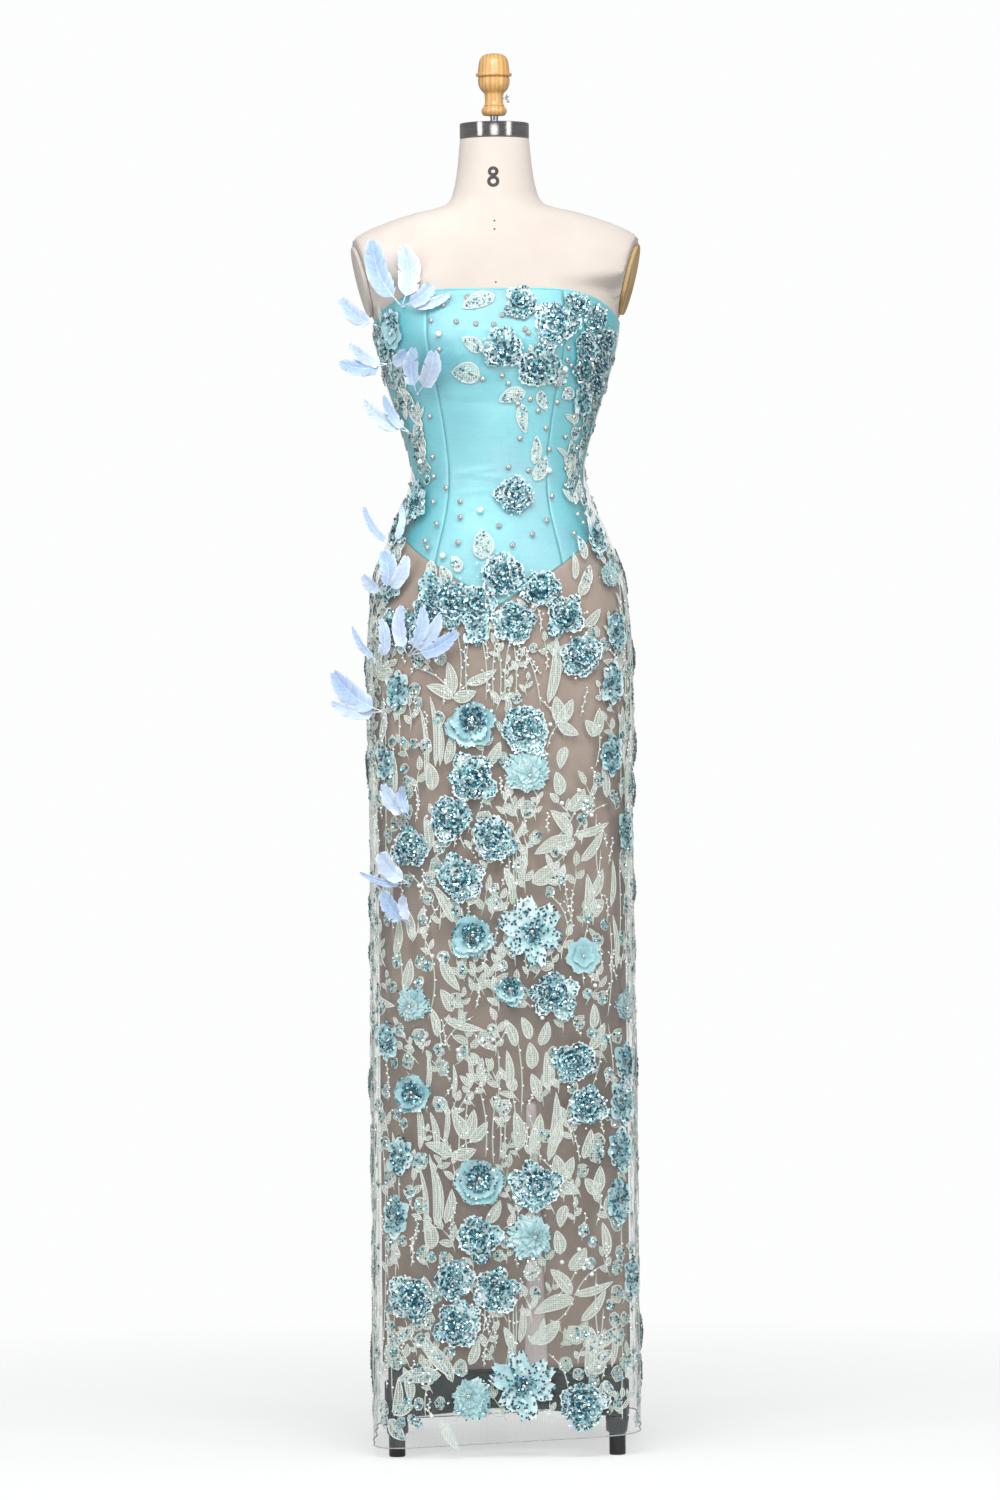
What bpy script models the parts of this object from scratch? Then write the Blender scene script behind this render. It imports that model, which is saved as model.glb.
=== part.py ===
# Strapless column maxi dress with an embroidered tulle overlay, worn by a limbless dress form.
# Metres, +Z up. The front faces -Y and +X is the viewer's right. The stand's feet are at z = 0.

import math

import bmesh
import bpy
from mathutils import Matrix, Vector
from mathutils.bvhtree import BVHTree

MM = 0.001

# The dress's axis in the part's frame. The feathers reach further left than anything reaches
# right, so the axis stands a little right of the middle of the part's box.
AXIS_X = 0.0146
AXIS_Y = 0.0012

# Cloth walls and the clearances between the layers
BODICE_THICK = 1.4 * MM
LINING_THICK = 1.2 * MM
OVERLAY_THICK = 1.0 * MM
FORM_GAP = 0.95 * MM
OVERLAY_OFFSET = 2.9 * MM
SEAM_GAP = 0.3 * MM
PART_GAP = 0.3 * MM
APPLIQUE_GAP = 0.75 * MM

# Every ring is sampled at the same steps: u = 0 right side, 1 centre back, 2 left side, 3 centre front
STEPS_PER_QUARTER = 10
ARC_SAMPLES = 90
ARC_STEPS = 10 * STEPS_PER_QUARTER
SMOOTH_ANGLE = 40

# The dress form's figure. Rows run from the neck down, in millimetres.
# height, half width, front depth, back depth, squareness of the section, bust lobe
FIGURE = (
    (1695, 45.0, 45.0, 45.0, 2.00, 0),
    (1655, 49.0, 49.0, 50.0, 2.00, 0),
    (1622, 56.0, 54.0, 58.0, 2.00, 0),
    (1609, 66.0, 58.0, 63.0, 2.00, 0),
    (1600, 104.0, 61.0, 68.0, 2.00, 0),
    (1588, 142.0, 65.0, 75.0, 2.05, 0),
    (1576, 170.0, 70.0, 82.0, 2.15, 0),
    (1562, 192.0, 77.0, 89.0, 2.40, 0),
    (1545, 205.0, 84.0, 95.0, 2.65, 0),
    (1520, 205.0, 92.0, 101.0, 2.70, 0),
    (1496, 160.0, 100.0, 104.0, 2.45, 3),
    (1475, 159.5, 108.0, 105.0, 2.35, 7),
    (1455, 158.0, 113.0, 104.0, 2.30, 11),
    (1435, 155.5, 116.0, 102.0, 2.25, 13),
    (1415, 151.5, 114.0, 100.0, 2.20, 12),
    (1395, 146.0, 109.0, 97.0, 2.20, 9),
    (1375, 140.0, 104.0, 94.0, 2.20, 5),
    (1350, 132.0, 100.0, 91.0, 2.20, 2),
    (1320, 122.5, 96.5, 88.0, 2.20, 0),
    (1290, 114.0, 93.5, 86.0, 2.20, 0),
    (1262, 109.0, 92.0, 86.0, 2.20, 0),
    (1240, 109.5, 93.0, 88.0, 2.20, 0),
    (1215, 115.0, 96.0, 93.0, 2.20, 0),
    (1190, 124.5, 101.0, 100.0, 2.25, 0),
    (1160, 139.0, 107.0, 110.0, 2.30, 0),
    (1130, 152.0, 111.0, 118.0, 2.30, 0),
    (1100, 160.0, 113.5, 124.0, 2.30, 0),
    (1060, 165.0, 115.5, 129.0, 2.35, 0),
    (1010, 167.5, 117.0, 131.0, 2.35, 0),
    (960, 167.0, 117.0, 131.0, 2.35, 0),
    (900, 162.0, 115.0, 127.0, 2.30, 0),
    (860, 157.0, 113.0, 122.0, 2.30, 0),
    (600, 152.0, 112.0, 118.0, 2.30, 0),
    (0, 152.0, 114.0, 118.0, 2.30, 0),
)
LOBE_X = 78 * MM
LOBE_SPREAD = 44 * MM

# How far each skirt layer stands off the figure, on top of its even offset, in millimetres
# height, at the sides, at the front, at the back, added squareness
LINING_EASE = (
    (1500, 0, 0, 0, 0),
    (1010, 0, 0, 0, 0),
    (955, 0.6, 1, 1, 0),
    (900, 2.5, 4, 4, 0),
    (860, 4, 6.5, 6.5, 0),
    (740, 5, 9, 9, 0.05),
    (580, 6, 12, 12, 0.10),
    (260, 6.5, 15, 15, 0.15),
    (0, 7, 17, 17, 0.20),
)
OVERLAY_EASE = (
    (1500, 0, 0, 0, 0),
    (1290, 0, 0, 0, 0),
    (1262, 0.5, 0, 0, 0),
    (1227, 6.5, 1, 1.5, 0),
    (1190, 10.5, 2, 3, 0),
    (1165, 8.5, 2, 3, 0),
    (1130, 5.5, 1.5, 2.5, 0),
    (1071, 1.2, 1, 1.5, 0),
    (1010, 1.0, 1.2, 1.5, 0),
    (955, 2.5, 3, 3, 0.05),
    (915, 5, 7, 7, 0.15),
    (860, 9, 12, 12, 0.3),
    (740, 11, 20, 19, 0.6),
    (580, 12.5, 30, 28, 1.1),
    (420, 12.5, 41, 38, 1.9),
    (260, 12.5, 52, 48, 3.2),
    (120, 13, 60, 56, 4.9),
    (0, 13.5, 66, 62, 6.0),
)

# Soft vertical folds of the overlay skirt: place round the ring, width in the same
# measure, height out of the cloth in millimetres, height at which it starts
OVERLAY_FOLDS = (
    (0.16, 0.07, 4.0, 1020),
    (0.38, 0.08, 3.0, 900),
    (0.66, 0.09, 4.5, 980),
    (1.36, 0.09, 4.0, 960),
    (1.62, 0.08, 3.5, 1000),
    (1.85, 0.07, 4.0, 940),
    (2.17, 0.07, 4.5, 1060),
    (2.36, 0.07, 3.5, 930),
    (2.60, 0.08, 2.5, 820),
    (3.30, 0.08, 2.5, 700),
    (3.62, 0.08, 3.5, 900),
    (3.84, 0.07, 4.5, 1040),
)
FOLD_GROWTH = 0.45

# Edges
TOP_FRONT = 1.496
TOP_SIDE = 1.455
TOP_BACK = 1.440
TOP_CURVE = 5
BASQUE_SIDE = 1.180
BASQUE_FRONT = 1.088
BASQUE_BACK = 1.075
BASQUE_HALF_WIDTH = 0.145
BASQUE_BACK_FLAT = 0.028
BASQUE_MIDDLE = 1.130
LINING_HEM = 0.110
OVERLAY_HEM = 0.021
OVERLAY_HEM_TILT = 0.048
OVERLAY_TOP_DROP = 1.0 * MM
SLIT_TOP = 0.45
SLIT_U = 3.10
SLIT_TOP_WIDTH = 1.5 * MM
SLIT_HEM_WIDTH = 25 * MM
SLIT_BEND_FROM = 0.55
LINING_QUARTER = 0.228

# Heights of the rings that the layers share, from the bust to the waist and from the hip down
TOP_SHARES = (0.33, 0.67)
LOW_SHARES = (0.34, 0.67, 1.0)
BODICE_LEVELS = (1.435, 1.405, 1.370, 1.330, 1.290, 1.255, 1.215)
SKIRT_LEVELS = (1.010, 0.940, 0.860, 0.740, 0.580, 0.420, 0.260, 0.120)
LINING_LEVELS = (1.010, 0.940, 0.860, 0.680, 0.400)
HIP_SHARES = (0.2, 0.4, 0.6, 0.8)
HIP_LEVELS = (1.180, 1.145, 1.105, 1.060)
SHOULDER_LEVELS = (
    1.695, 1.650, 1.620, 1.608, 1.598, 1.586, 1.572, 1.558, 1.535, 1.497, 1.480, 1.466, 1.455, 1.445,
)
TORSO_BOTTOM = 0.860

# The form's armhole plates lie on a plane at each side: |x| = base + tilt * (z - height) + yaw * y
ARMHOLE_BASE = 0.157
ARMHOLE_HEIGHT = 1.455
ARMHOLE_TILT = 0.25
ARMHOLE_YAW = 0.12
PLATE_FLAT = (-0.015, 0.050)
PLATE_TOP = 1.565
PLATE_CENTRE_Z = 1.512
PLATE_HALF_WIDTH = 0.043
PLATE_HALF_HEIGHT = 0.047
PLATE_THICK = 0.005
PLATE_SIDES = 24

# Zip at the centre back
ZIP_TAPE_HALF = 4.7 * MM
ZIP_PANEL_INSET = 5.0 * MM
ZIP_OVERLAY_INSET = 5.15 * MM
SLIDER_Z = 1.4225
SLIDER_SIZE = (8 * MM, 14 * MM, 2 * MM)
LUG_SIZE = (2.4 * MM, 3.2 * MM, 3.3 * MM)
PULL_AXIS_OUT = 2.1 * MM
PULL_THICK = 1.0 * MM
# Half of the pull's outline, across and up from its hinge axis, in millimetres
PULL_OUTLINE = ((1.5, 1.5), (2.7, 1.5), (2.7, -5), (2.2, -24), (1.2, -27))
PULL_FORK_DEPTH = -4

# Stand
POLE_RADIUS = 0.0125
BASE_BOTTOM = 0.050
BASE_TOP = 0.098
ARM_HALF_WIDTH = 0.016
HUB_RADIUS = 0.045
FOOT_REACH = 0.141
# radius and height down the turned foot, in millimetres
FOOT_PROFILE = ((15, 49.7), (15, 44), (12.5, 29), (10.5, 28), (10.5, 0))
# radius and height down the neck cap, the rod and the turned knob, in millimetres
CAP_PROFILE = ((43.5, 1715.7), (45, 1714.5), (45, 1696.5), (44, 1695.3))
ROD_PROFILE = ((5.4, 1725.6), (5.4, 1716.0))
KNOB_PROFILE = (
    (8, 1806.5), (15, 1803.5), (18.8, 1797), (20.6, 1783), (23.5, 1779.5), (23.5, 1777.5),
    (20.4, 1775.5), (20, 1768), (17.3, 1761.5), (12.6, 1755.5), (12, 1752), (12, 1740),
    (16.3, 1733.5), (16.3, 1729.5), (14, 1725.9),
)
SCREW_Z = 1.748
SCREW_THICK = 1.6 * MM
# Upper half of the wing screw's outline: distance from the axis of the knob, height, in millimetres
SCREW_OUTLINE = ((12.3, 1.4), (14.5, 1.4), (16.5, 5.2), (19.5, 5.4), (20.5, 3.5), (18.0, 1.0))

# Appliqued flowers, in sprays. Each row: across and height of the middle, radius, in
# millimetres, petals, and the row of the spray that it is joined to by its net
SPRAYS = {
    "spray_bust": ("front", (
        (72, 1443, 25.0, 7, None), (31, 1482, 12.0, 7, 0), (53, 1394, 21.0, 7, 0), (8, 1413, 18.0, 7, 2),
    )),
    "spray_bust_side": ("front", (
        (124, 1452, 20.0, 7, None), (132, 1408, 19.0, 7, 0), (126, 1368, 16.0, 7, 1),
    )),
    "flower_bust_left": ("front", ((-134, 1440, 20.0, 7, None),)),
    "flower_waist": ("front", ((21, 1231, 25.0, 7, None),)),
    "spray_hip": ("front", (
        (-59, 1094, 29.0, 7, None), (0, 1126, 26.0, 7, 0), (18, 1070, 24.0, 7, 1),
        (52, 1120, 21.0, 7, 1), (81, 1081, 23.0, 7, 3), (101, 1023, 26.0, 7, 4),
    )),
    "spray_thigh": ("front", (
        (33, 931, 29.0, 7, None), (37, 870, 28.0, 7, 0), (-37, 938, 26.0, 7, 0),
        (-37, 866, 26.0, 7, 2), (-64, 818, 18.0, 7, 3), (-11, 786, 25.0, 7, 4), (-55, 741, 25.0, 7, 5),
    )),
    "spray_knee": ("front", (
        (38, 670, 42.0, 10, None), (-39, 663, 27.0, 7, 0), (103, 638, 23.0, 7, 0),
        (64, 588, 25.0, 7, 2), (8, 595, 18.0, 7, 3),
    )),
    "flower_left_high": ("front", ((-116, 781, 21.0, 7, None),)),
    "flower_left_mid": ("front", ((-118, 575, 24.0, 10, None),)),
    "flower_left_low": ("front", ((-118, 463, 22.0, 7, None),)),
    "spray_right_low": ("front", ((90, 503, 23.0, 7, None), (106, 446, 23.0, 7, 0))),
    "spray_calf": ("front", (
        (38, 281, 31.0, 10, None), (40, 346, 27.0, 7, 0), (-34, 352, 28.0, 7, 1),
        (-36, 283, 26.0, 7, 2), (-11, 214, 25.0, 7, 3), (-61, 169, 24.0, 7, 4), (-122, 206, 25.0, 7, 5),
    )),
    "spray_hem": ("front", ((22, 90, 40.0, 10, None), (-49, 80, 27.0, 7, 0), (97, 66, 27.0, 7, 0))),
    "spray_back_bust": ("back", ((-70, 1395, 24.0, 7, None), (-30, 1352, 20.0, 7, 0))),
    "spray_back_hip": ("back", (
        (60, 1085, 27.0, 7, None), (16, 1040, 22.0, 7, 0), (-42, 1058, 26.0, 7, 1), (-92, 1100, 23.0, 7, 2),
    )),
    "spray_back_thigh": ("back", ((-35, 860, 28.0, 7, None), (22, 820, 26.0, 7, 0), (62, 762, 24.0, 7, 1))),
    "spray_back_knee": ("back", ((30, 560, 38.0, 10, None), (-42, 540, 27.0, 7, 0), (-60, 478, 24.0, 7, 1))),
    "spray_back_hem": ("back", ((-62, 205, 27.0, 7, None), (-10, 160, 28.0, 7, 0), (55, 110, 32.0, 10, 1))),
    "spray_side_left": ("left", ((30, 700, 24.0, 7, None), (10, 640, 23.0, 7, 0))),
    "spray_side_right": ("right", ((10, 905, 24.0, 7, None), (-12, 850, 22.0, 7, 0))),
}
# A ten-cornered flower is an orchid: every other corner but the first lies further in
ORCHID_CORNERS = 10
PETAL_DIP = 0.74
# Seating: a line that meets no cloth is moved towards the middle by this share, the slope is
# read this far either way, and a flower looks for the cloth from this far out
SEAT_STEP_IN = 0.98
SEAT_REACH = 6 * MM
LOOK_FROM = 0.06
SEAM_STEP = 0.7 * MM
FLOWER_RINGS = ((0.0, 2.4), (0.55, 4.2), (1.0, 1.5))

# Feather tufts on the viewer's left. Root across and height, then its feathers from left to
# right: tip across and up from the root, width, lift away from the cloth, all in millimetres
TUFTS = {
    "feathers_shoulder": (-119, 1474, ((-36, 82, 15, 14), (2, 74, 15, 6), (35, 24, 10, 16), (55, 12, 7, 8))),
    "feathers_armhole": (-154, 1450, ((-46, 35, 11, 10),)),
    "feathers_bust": (-141, 1400, ((-58, 2, 11, 12), (-48, 26, 9, 18), (22, 14, 9, 4))),
    "feathers_under_bust": (-102, 1362, ((-3, 55, 10, 14), (20, 49, 12, 20))),
    "feathers_waist": (-115, 1313, ((-55, 40, 10, 12), (-32, 46, 7, 18))),
    "feathers_basque": (-137, 1166, ((-35, 50, 6, 10), (11, 54, 5, 14))),
    "feathers_hip": (-147, 1105, ((-25, 22, 8, 10), (0, 52, 12, 16), (26, 46, 9, 12))),
    "feathers_hip_front": (-115, 1025, ((-7, 62, 9, 12), (18, 60, 9, 20), (38, 50, 9, 14), (57, 28, 10, 20))),
    "feathers_thigh_side": (-155, 1016, ((-33, 46, 5, 10), (2, 54, 8, 14))),
    "feathers_thigh": (-152, 952, ((-63, 12, 10, 14), (-62, 50, 15, 22))),
    "feathers_knee_high": (-118, 816, ((-31, 42, 10, 12), (-10, 40, 7, 18))),
    "feathers_knee": (-120, 732, ((-60, 14, 5, 10), (-36, 37, 12, 16))),
    "feathers_knee_low": (-119, 680, ((-31, 40, 11, 12), (-9, 36, 7, 18))),
}
KNOT_GAP = 0.8 * MM
QUILL_WIDTH = 3.0 * MM
QUILL_THICK = 2.2 * MM
KNOT_HEIGHT = 3.0 * MM
KNOT_SPREAD = 1.3
# along the feather, share of its full width, thickness in millimetres
FEATHER_STATIONS = ((0.22, 0.55, 1.6), (0.50, 1.0, 1.2), (0.76, 0.95, 1.0), (1.0, 0.35, 0.9))
FEATHER_BOW = 0.10
# How the lift grows along a feather, and how soon it keeps clear of what lies behind it
LIFT_CURVE = 1.4
CLEAR_CURVE = 0.5
# Where round a feather's station the cloth behind it is felt for, in widths of the feather
FEATHER_PROBES = ((0, 0), (-0.6, 0), (0.6, 0), (0, -0.6), (0, 0.6), (0.9, 0.4), (0.9, -0.4))

# Colour, roughness and metallic value of each material
FINISHES = {
    "satin": ((0.16, 0.66, 0.70), 0.35, 0.0),
    "lining": ((0.38, 0.27, 0.22), 0.55, 0.0),
    "tulle": ((0.60, 0.66, 0.66), 0.80, 0.0),
    "applique": ((0.18, 0.45, 0.50), 0.40, 0.1),
    "feather": ((0.42, 0.62, 0.88), 0.70, 0.0),
    "linen": ((0.84, 0.76, 0.70), 0.85, 0.0),
    "plate": ((0.45, 0.33, 0.22), 0.80, 0.0),
    "chrome": ((0.62, 0.62, 0.62), 0.15, 1.0),
    "wood": ((0.66, 0.42, 0.20), 0.45, 0.0),
    "cast_iron": ((0.02, 0.02, 0.025), 0.55, 0.6),
    "steel": ((0.60, 0.60, 0.62), 0.30, 1.0),
    "zip": ((0.25, 0.62, 0.66), 0.60, 0.0),
}


# Scene and object helpers

def clear_scene():
    for obj in list(bpy.data.objects):
        bpy.data.objects.remove(obj, do_unlink=True)


def make_material(object_name, finish):
    colour, roughness, metallic = FINISHES[finish]
    material = bpy.data.materials.new(object_name + "_finish")
    material.use_nodes = True
    shader = material.node_tree.nodes["Principled BSDF"]
    shader.inputs["Base Color"].default_value = (*colour, 1.0)
    shader.inputs["Roughness"].default_value = roughness
    shader.inputs["Metallic"].default_value = metallic
    material.diffuse_color = (*colour, 1.0)
    return material


def add_object(name, mesh, finish, parent, smooth=True):
    obj = bpy.data.objects.new(name, mesh)
    bpy.context.scene.collection.objects.link(obj)
    mesh.materials.append(make_material(name, finish))
    if smooth:
        mesh.shade_smooth()
        mesh.set_sharp_from_angle(angle=math.radians(SMOOTH_ANGLE))
    obj.parent = parent
    return obj


def mesh_from(name, vertices, faces):
    """A mesh of the faces with their normals turned out."""
    mesh = bpy.data.meshes.new(name)
    mesh.from_pydata([tuple(v) for v in vertices], [], faces)
    work = bmesh.new()
    work.from_mesh(mesh)
    bmesh.ops.recalc_face_normals(work, faces=work.faces)
    work.to_mesh(mesh)
    work.free()
    return mesh


def turned(name, profile, finish, parent, sides, centre=(0.0, 0.0)):
    """A solid of revolution about a vertical axis. The profile runs from the top down."""
    vertices = []
    for radius, height in profile:
        for step in range(sides):
            turn = 2 * math.pi * step / sides
            x = centre[0] + radius * MM * math.cos(turn)
            y = centre[1] + radius * MM * math.sin(turn)
            vertices.append((x, y, height * MM))
    faces = [tuple(range(sides)), tuple(range((len(profile) - 1) * sides, len(profile) * sides))]
    for ring in range(len(profile) - 1):
        for step in range(sides):
            after = (step + 1) % sides
            low = (ring + 1) * sides
            faces.append((ring * sides + step, ring * sides + after, low + after, low + step))
    return add_object(name, mesh_from(name, vertices, faces), finish, parent)


def slab(name, outline, thick, finish, parent, frame=None):
    """A flat outline in x and z, thick along y about y = 0, placed by a matrix."""
    count = len(outline)
    vertices = [Vector((x, -thick / 2, z)) for x, z in outline]
    vertices += [Vector((x, thick / 2, z)) for x, z in outline]
    faces = [tuple(range(count)), tuple(range(count, 2 * count))]
    faces += [(i, (i + 1) % count, count + (i + 1) % count, count + i) for i in range(count)]
    if frame:
        vertices = [frame @ v for v in vertices]
    return add_object(name, mesh_from(name, vertices, faces), finish, parent, smooth=False)


def empty(name, place):
    obj = bpy.data.objects.new(name, None)
    bpy.context.scene.collection.objects.link(obj)
    obj.location = place
    return obj


# Sections of the figure and of the layers over it

def slope_at(before, here, after):
    """The tangent that keeps a curve through three rows free of overshoot."""
    first = (here[1] - before[1]) / (here[0] - before[0])
    second = (after[1] - here[1]) / (after[0] - here[0])
    if first * second <= 0:
        return 0.0
    return 2 * first * second / (first + second)


def table_value(rows, height, column):
    """A column of a table at a height, on a smooth curve. Rows run downward."""
    z = min(max(height / MM, rows[-1][0]), rows[0][0])
    index = 0
    while index < len(rows) - 2 and z < rows[index + 1][0]:
        index += 1
    points = [(row[0], row[column]) for row in rows[max(index - 1, 0):index + 3]]
    if index == 0:
        points.insert(0, (2 * points[0][0] - points[1][0], 2 * points[0][1] - points[1][1]))
    if len(points) < 4:
        points.append((2 * points[-1][0] - points[-2][0], 2 * points[-1][1] - points[-2][1]))
    above, top, low, below = points
    span = low[0] - top[0]
    t = (z - top[0]) / span
    top_slope = slope_at(above, top, low) * span
    low_slope = slope_at(top, low, below) * span
    blend = 3 * t * t - 2 * t * t * t
    value = top[1] + (low[1] - top[1]) * blend
    value += top_slope * (t - 2 * t * t + t * t * t)
    value += low_slope * (t * t * t - t * t)
    return value


def section(ease, height):
    """Half width, front depth, back depth, squareness and lobe at a height, in metres."""
    half, front, back, square, lobe = (table_value(FIGURE, height, c) for c in range(1, 6))
    if ease:
        half += table_value(ease, height, 1)
        front += table_value(ease, height, 2)
        back += table_value(ease, height, 3)
        square += table_value(ease, height, 4)
    return half * MM, front * MM, back * MM, square, lobe * MM


def ring_point(values, angle):
    half, front, back, square, lobe = values
    c, s = math.cos(angle), math.sin(angle)
    x = math.copysign(abs(c) ** (2 / square), c) * half
    depth = back if s > 0 else front
    y = math.copysign(abs(s) ** (2 / square), s) * depth
    if s < 0:
        y += lobe * s * math.exp(-((abs(x) - LOBE_X) / LOBE_SPREAD) ** 2)
    return Vector((x, y))


ARC_CACHE = {}


def quarter_angles(ease, height, back):
    """Angles from a side to the middle at even steps of length along the ring."""
    key = (id(ease), round(height, 6), back)
    if key in ARC_CACHE:
        return ARC_CACHE[key]
    values = section(ease, height)
    sign = 1 if back else -1
    turns = [0.5 * math.pi * i / ARC_SAMPLES for i in range(ARC_SAMPLES + 1)]
    points = [ring_point(values, sign * turn) for turn in turns]
    lengths = [0.0]
    for i in range(ARC_SAMPLES):
        lengths.append(lengths[-1] + (points[i + 1] - points[i]).length)
    result = []
    index = 0
    for step in range(ARC_STEPS + 1):
        target = lengths[-1] * step / ARC_STEPS
        while index < ARC_SAMPLES - 1 and lengths[index + 1] < target:
            index += 1
        share = (target - lengths[index]) / (lengths[index + 1] - lengths[index])
        result.append(turns[index] + (turns[index + 1] - turns[index]) * min(max(share, 0), 1))
    ARC_CACHE[key] = result
    return result


def angle_at(ease, height, u):
    quarter = int(math.floor(u)) % 4
    part = u - math.floor(u)
    from_side = part if quarter in (0, 2) else 1 - part
    angles = quarter_angles(ease, height, quarter < 2)
    place = from_side * (len(angles) - 1)
    low = min(int(place), len(angles) - 2)
    angle = angles[low] + (angles[low + 1] - angles[low]) * (place - low)
    return (angle, math.pi - angle, math.pi + angle, -angle)[quarter]


def place(ease, height, u, out, shift=0.0):
    """The point of a ring at u, moved out along its normal and along its tangent."""
    values = section(ease, height)
    angle = angle_at(ease, height, u)
    step = math.radians(1.5)
    tangent = ring_point(values, angle + step) - ring_point(values, angle - step)
    tangent.normalize()
    normal = Vector((tangent.y, -tangent.x))
    point = ring_point(values, angle) + normal * out + tangent * shift
    return Vector((point.x, point.y, height))


def mix(a, b, share):
    return a + (b - a) * share


def top_edge(u):
    x = abs(place(None, TOP_SIDE, u, 0).x) / abs(place(None, TOP_SIDE, 0, 0).x)
    if 2 <= u % 4 or u % 4 == 0:
        return TOP_FRONT - (TOP_FRONT - TOP_SIDE) * x ** TOP_CURVE
    return mix(TOP_BACK, TOP_SIDE, x)


def basque_edge(u):
    x = abs(place(None, BASQUE_MIDDLE, u, 0).x)
    if u % 4 > 2:
        return mix(BASQUE_FRONT, BASQUE_SIDE, min(1.0, x / BASQUE_HALF_WIDTH))
    # At the back the point is cut off level, where the zip ends
    share = max(0.0, x - BASQUE_BACK_FLAT) / (BASQUE_HALF_WIDTH - BASQUE_BACK_FLAT)
    return mix(BASQUE_BACK, BASQUE_SIDE, min(1.0, share))


def overlay_hem(u):
    return OVERLAY_HEM + OVERLAY_HEM_TILT * place(OVERLAY_EASE, OVERLAY_HEM, u, 0).x


def fold_out(u, height):
    """How far the overlay's folds carry the cloth out here."""
    total = 0.0
    for middle, width, rise, start in OVERLAY_FOLDS:
        if height < start * MM:
            growth = min(1.0, (start * MM - height) / FOLD_GROWTH)
            total += rise * MM * growth * math.exp(-((u - middle) / width) ** 2)
    return total


# Cloth walls

def wall_mesh(name, columns, rows, point, missing=()):
    """A closed wall. point(column, row, side) gives a corner, side 0 inside and 1 outside."""
    vertices = []
    index = {}
    for side in (0, 1):
        for row in range(rows):
            for column in range(columns):
                index[column, row, side] = len(vertices)
                vertices.append(point(column, row, side))
    present = {(c, r) for c in range(columns - 1) for r in range(rows - 1)} - set(missing)
    faces = []
    for c, r in sorted(present):
        for side in (0, 1):
            a, b = index[c, r, side], index[c + 1, r, side]
            d, e = index[c, r + 1, side], index[c + 1, r + 1, side]
            faces += [(a, b, e), (a, e, d)]
        edges = (
            ((c, r - 1), (c, r), (c + 1, r)), ((c, r + 1), (c, r + 1), (c + 1, r + 1)),
            ((c - 1, r), (c, r), (c, r + 1)), ((c + 1, r), (c + 1, r), (c + 1, r + 1)),
        )
        for neighbour, start, end in edges:
            if neighbour not in present:
                inner = (index[start[0], start[1], 0], index[end[0], end[1], 0])
                outer = (index[end[0], end[1], 1], index[start[0], start[1], 1])
                faces.append(inner + outer)
    used = sorted({v for face in faces for v in face})
    renumber = {old: new for new, old in enumerate(used)}
    faces = [tuple(renumber[v] for v in face) for face in faces]
    return mesh_from(name, [vertices[v] for v in used], faces)


def panel_steps(start, end):
    count = round((end - start) * STEPS_PER_QUARTER)
    return [start + i / STEPS_PER_QUARTER for i in range(count + 1)]


def panel(name, start, end, levels, ease, offset, thick, finish, parent, **extra):
    """A cloth panel from u = start to end. Each level is a height or a function of u."""
    steps = panel_steps(start, end)
    insets = extra.get("insets", (SEAM_GAP / 2, SEAM_GAP / 2))
    folds = extra.get("folds", False)
    bend = extra.get("bend")

    def point(column, row, side):
        u = steps[column]
        level = levels[row]
        height = level(u) if callable(level) else level
        shift = 0.0
        if column == 0:
            shift = insets[0](height) if callable(insets[0]) else insets[0]
        if column == len(steps) - 1:
            shift = -(insets[1](height) if callable(insets[1]) else insets[1])
        if bend:
            u = bend(column, u, height)
        out = offset + thick * side
        if folds:
            out += fold_out(u, height)
        return place(ease, height, u, out, shift)

    mesh = wall_mesh(name, len(steps), len(levels), point, extra.get("missing", ()))
    return add_object(name, mesh, finish, parent)


def between(top, low, share):
    """A level part of the way from one edge to another, which may each be a function of u."""
    def level(u):
        high_value = top(u) if callable(top) else top
        low_value = low(u) if callable(low) else low
        return mix(high_value, low_value, share)
    return level


def bodice_levels():
    levels = [top_edge] + [between(top_edge, BODICE_LEVELS[0], share) for share in TOP_SHARES]
    levels += list(BODICE_LEVELS)
    levels += [between(BODICE_LEVELS[-1], basque_edge, share) for share in LOW_SHARES]
    return levels


def make_bodice(parent):
    levels = bodice_levels()
    seam = SEAM_GAP / 2
    pieces = (
        ("bodice_front", 2.6, 3.4, (seam, seam)),
        ("bodice_side_right", 3.4, 4.0, (seam, seam)),
        ("bodice_side_left", 2.0, 2.6, (seam, seam)),
        ("bodice_back_right", 0.0, 1.0, (seam, ZIP_PANEL_INSET)),
        ("bodice_back_left", 1.0, 2.0, (ZIP_PANEL_INSET, seam)),
    )
    for name, start, end, insets in pieces:
        panel(name, start, end, levels, None, FORM_GAP, BODICE_THICK, "satin", parent, insets=insets)


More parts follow.
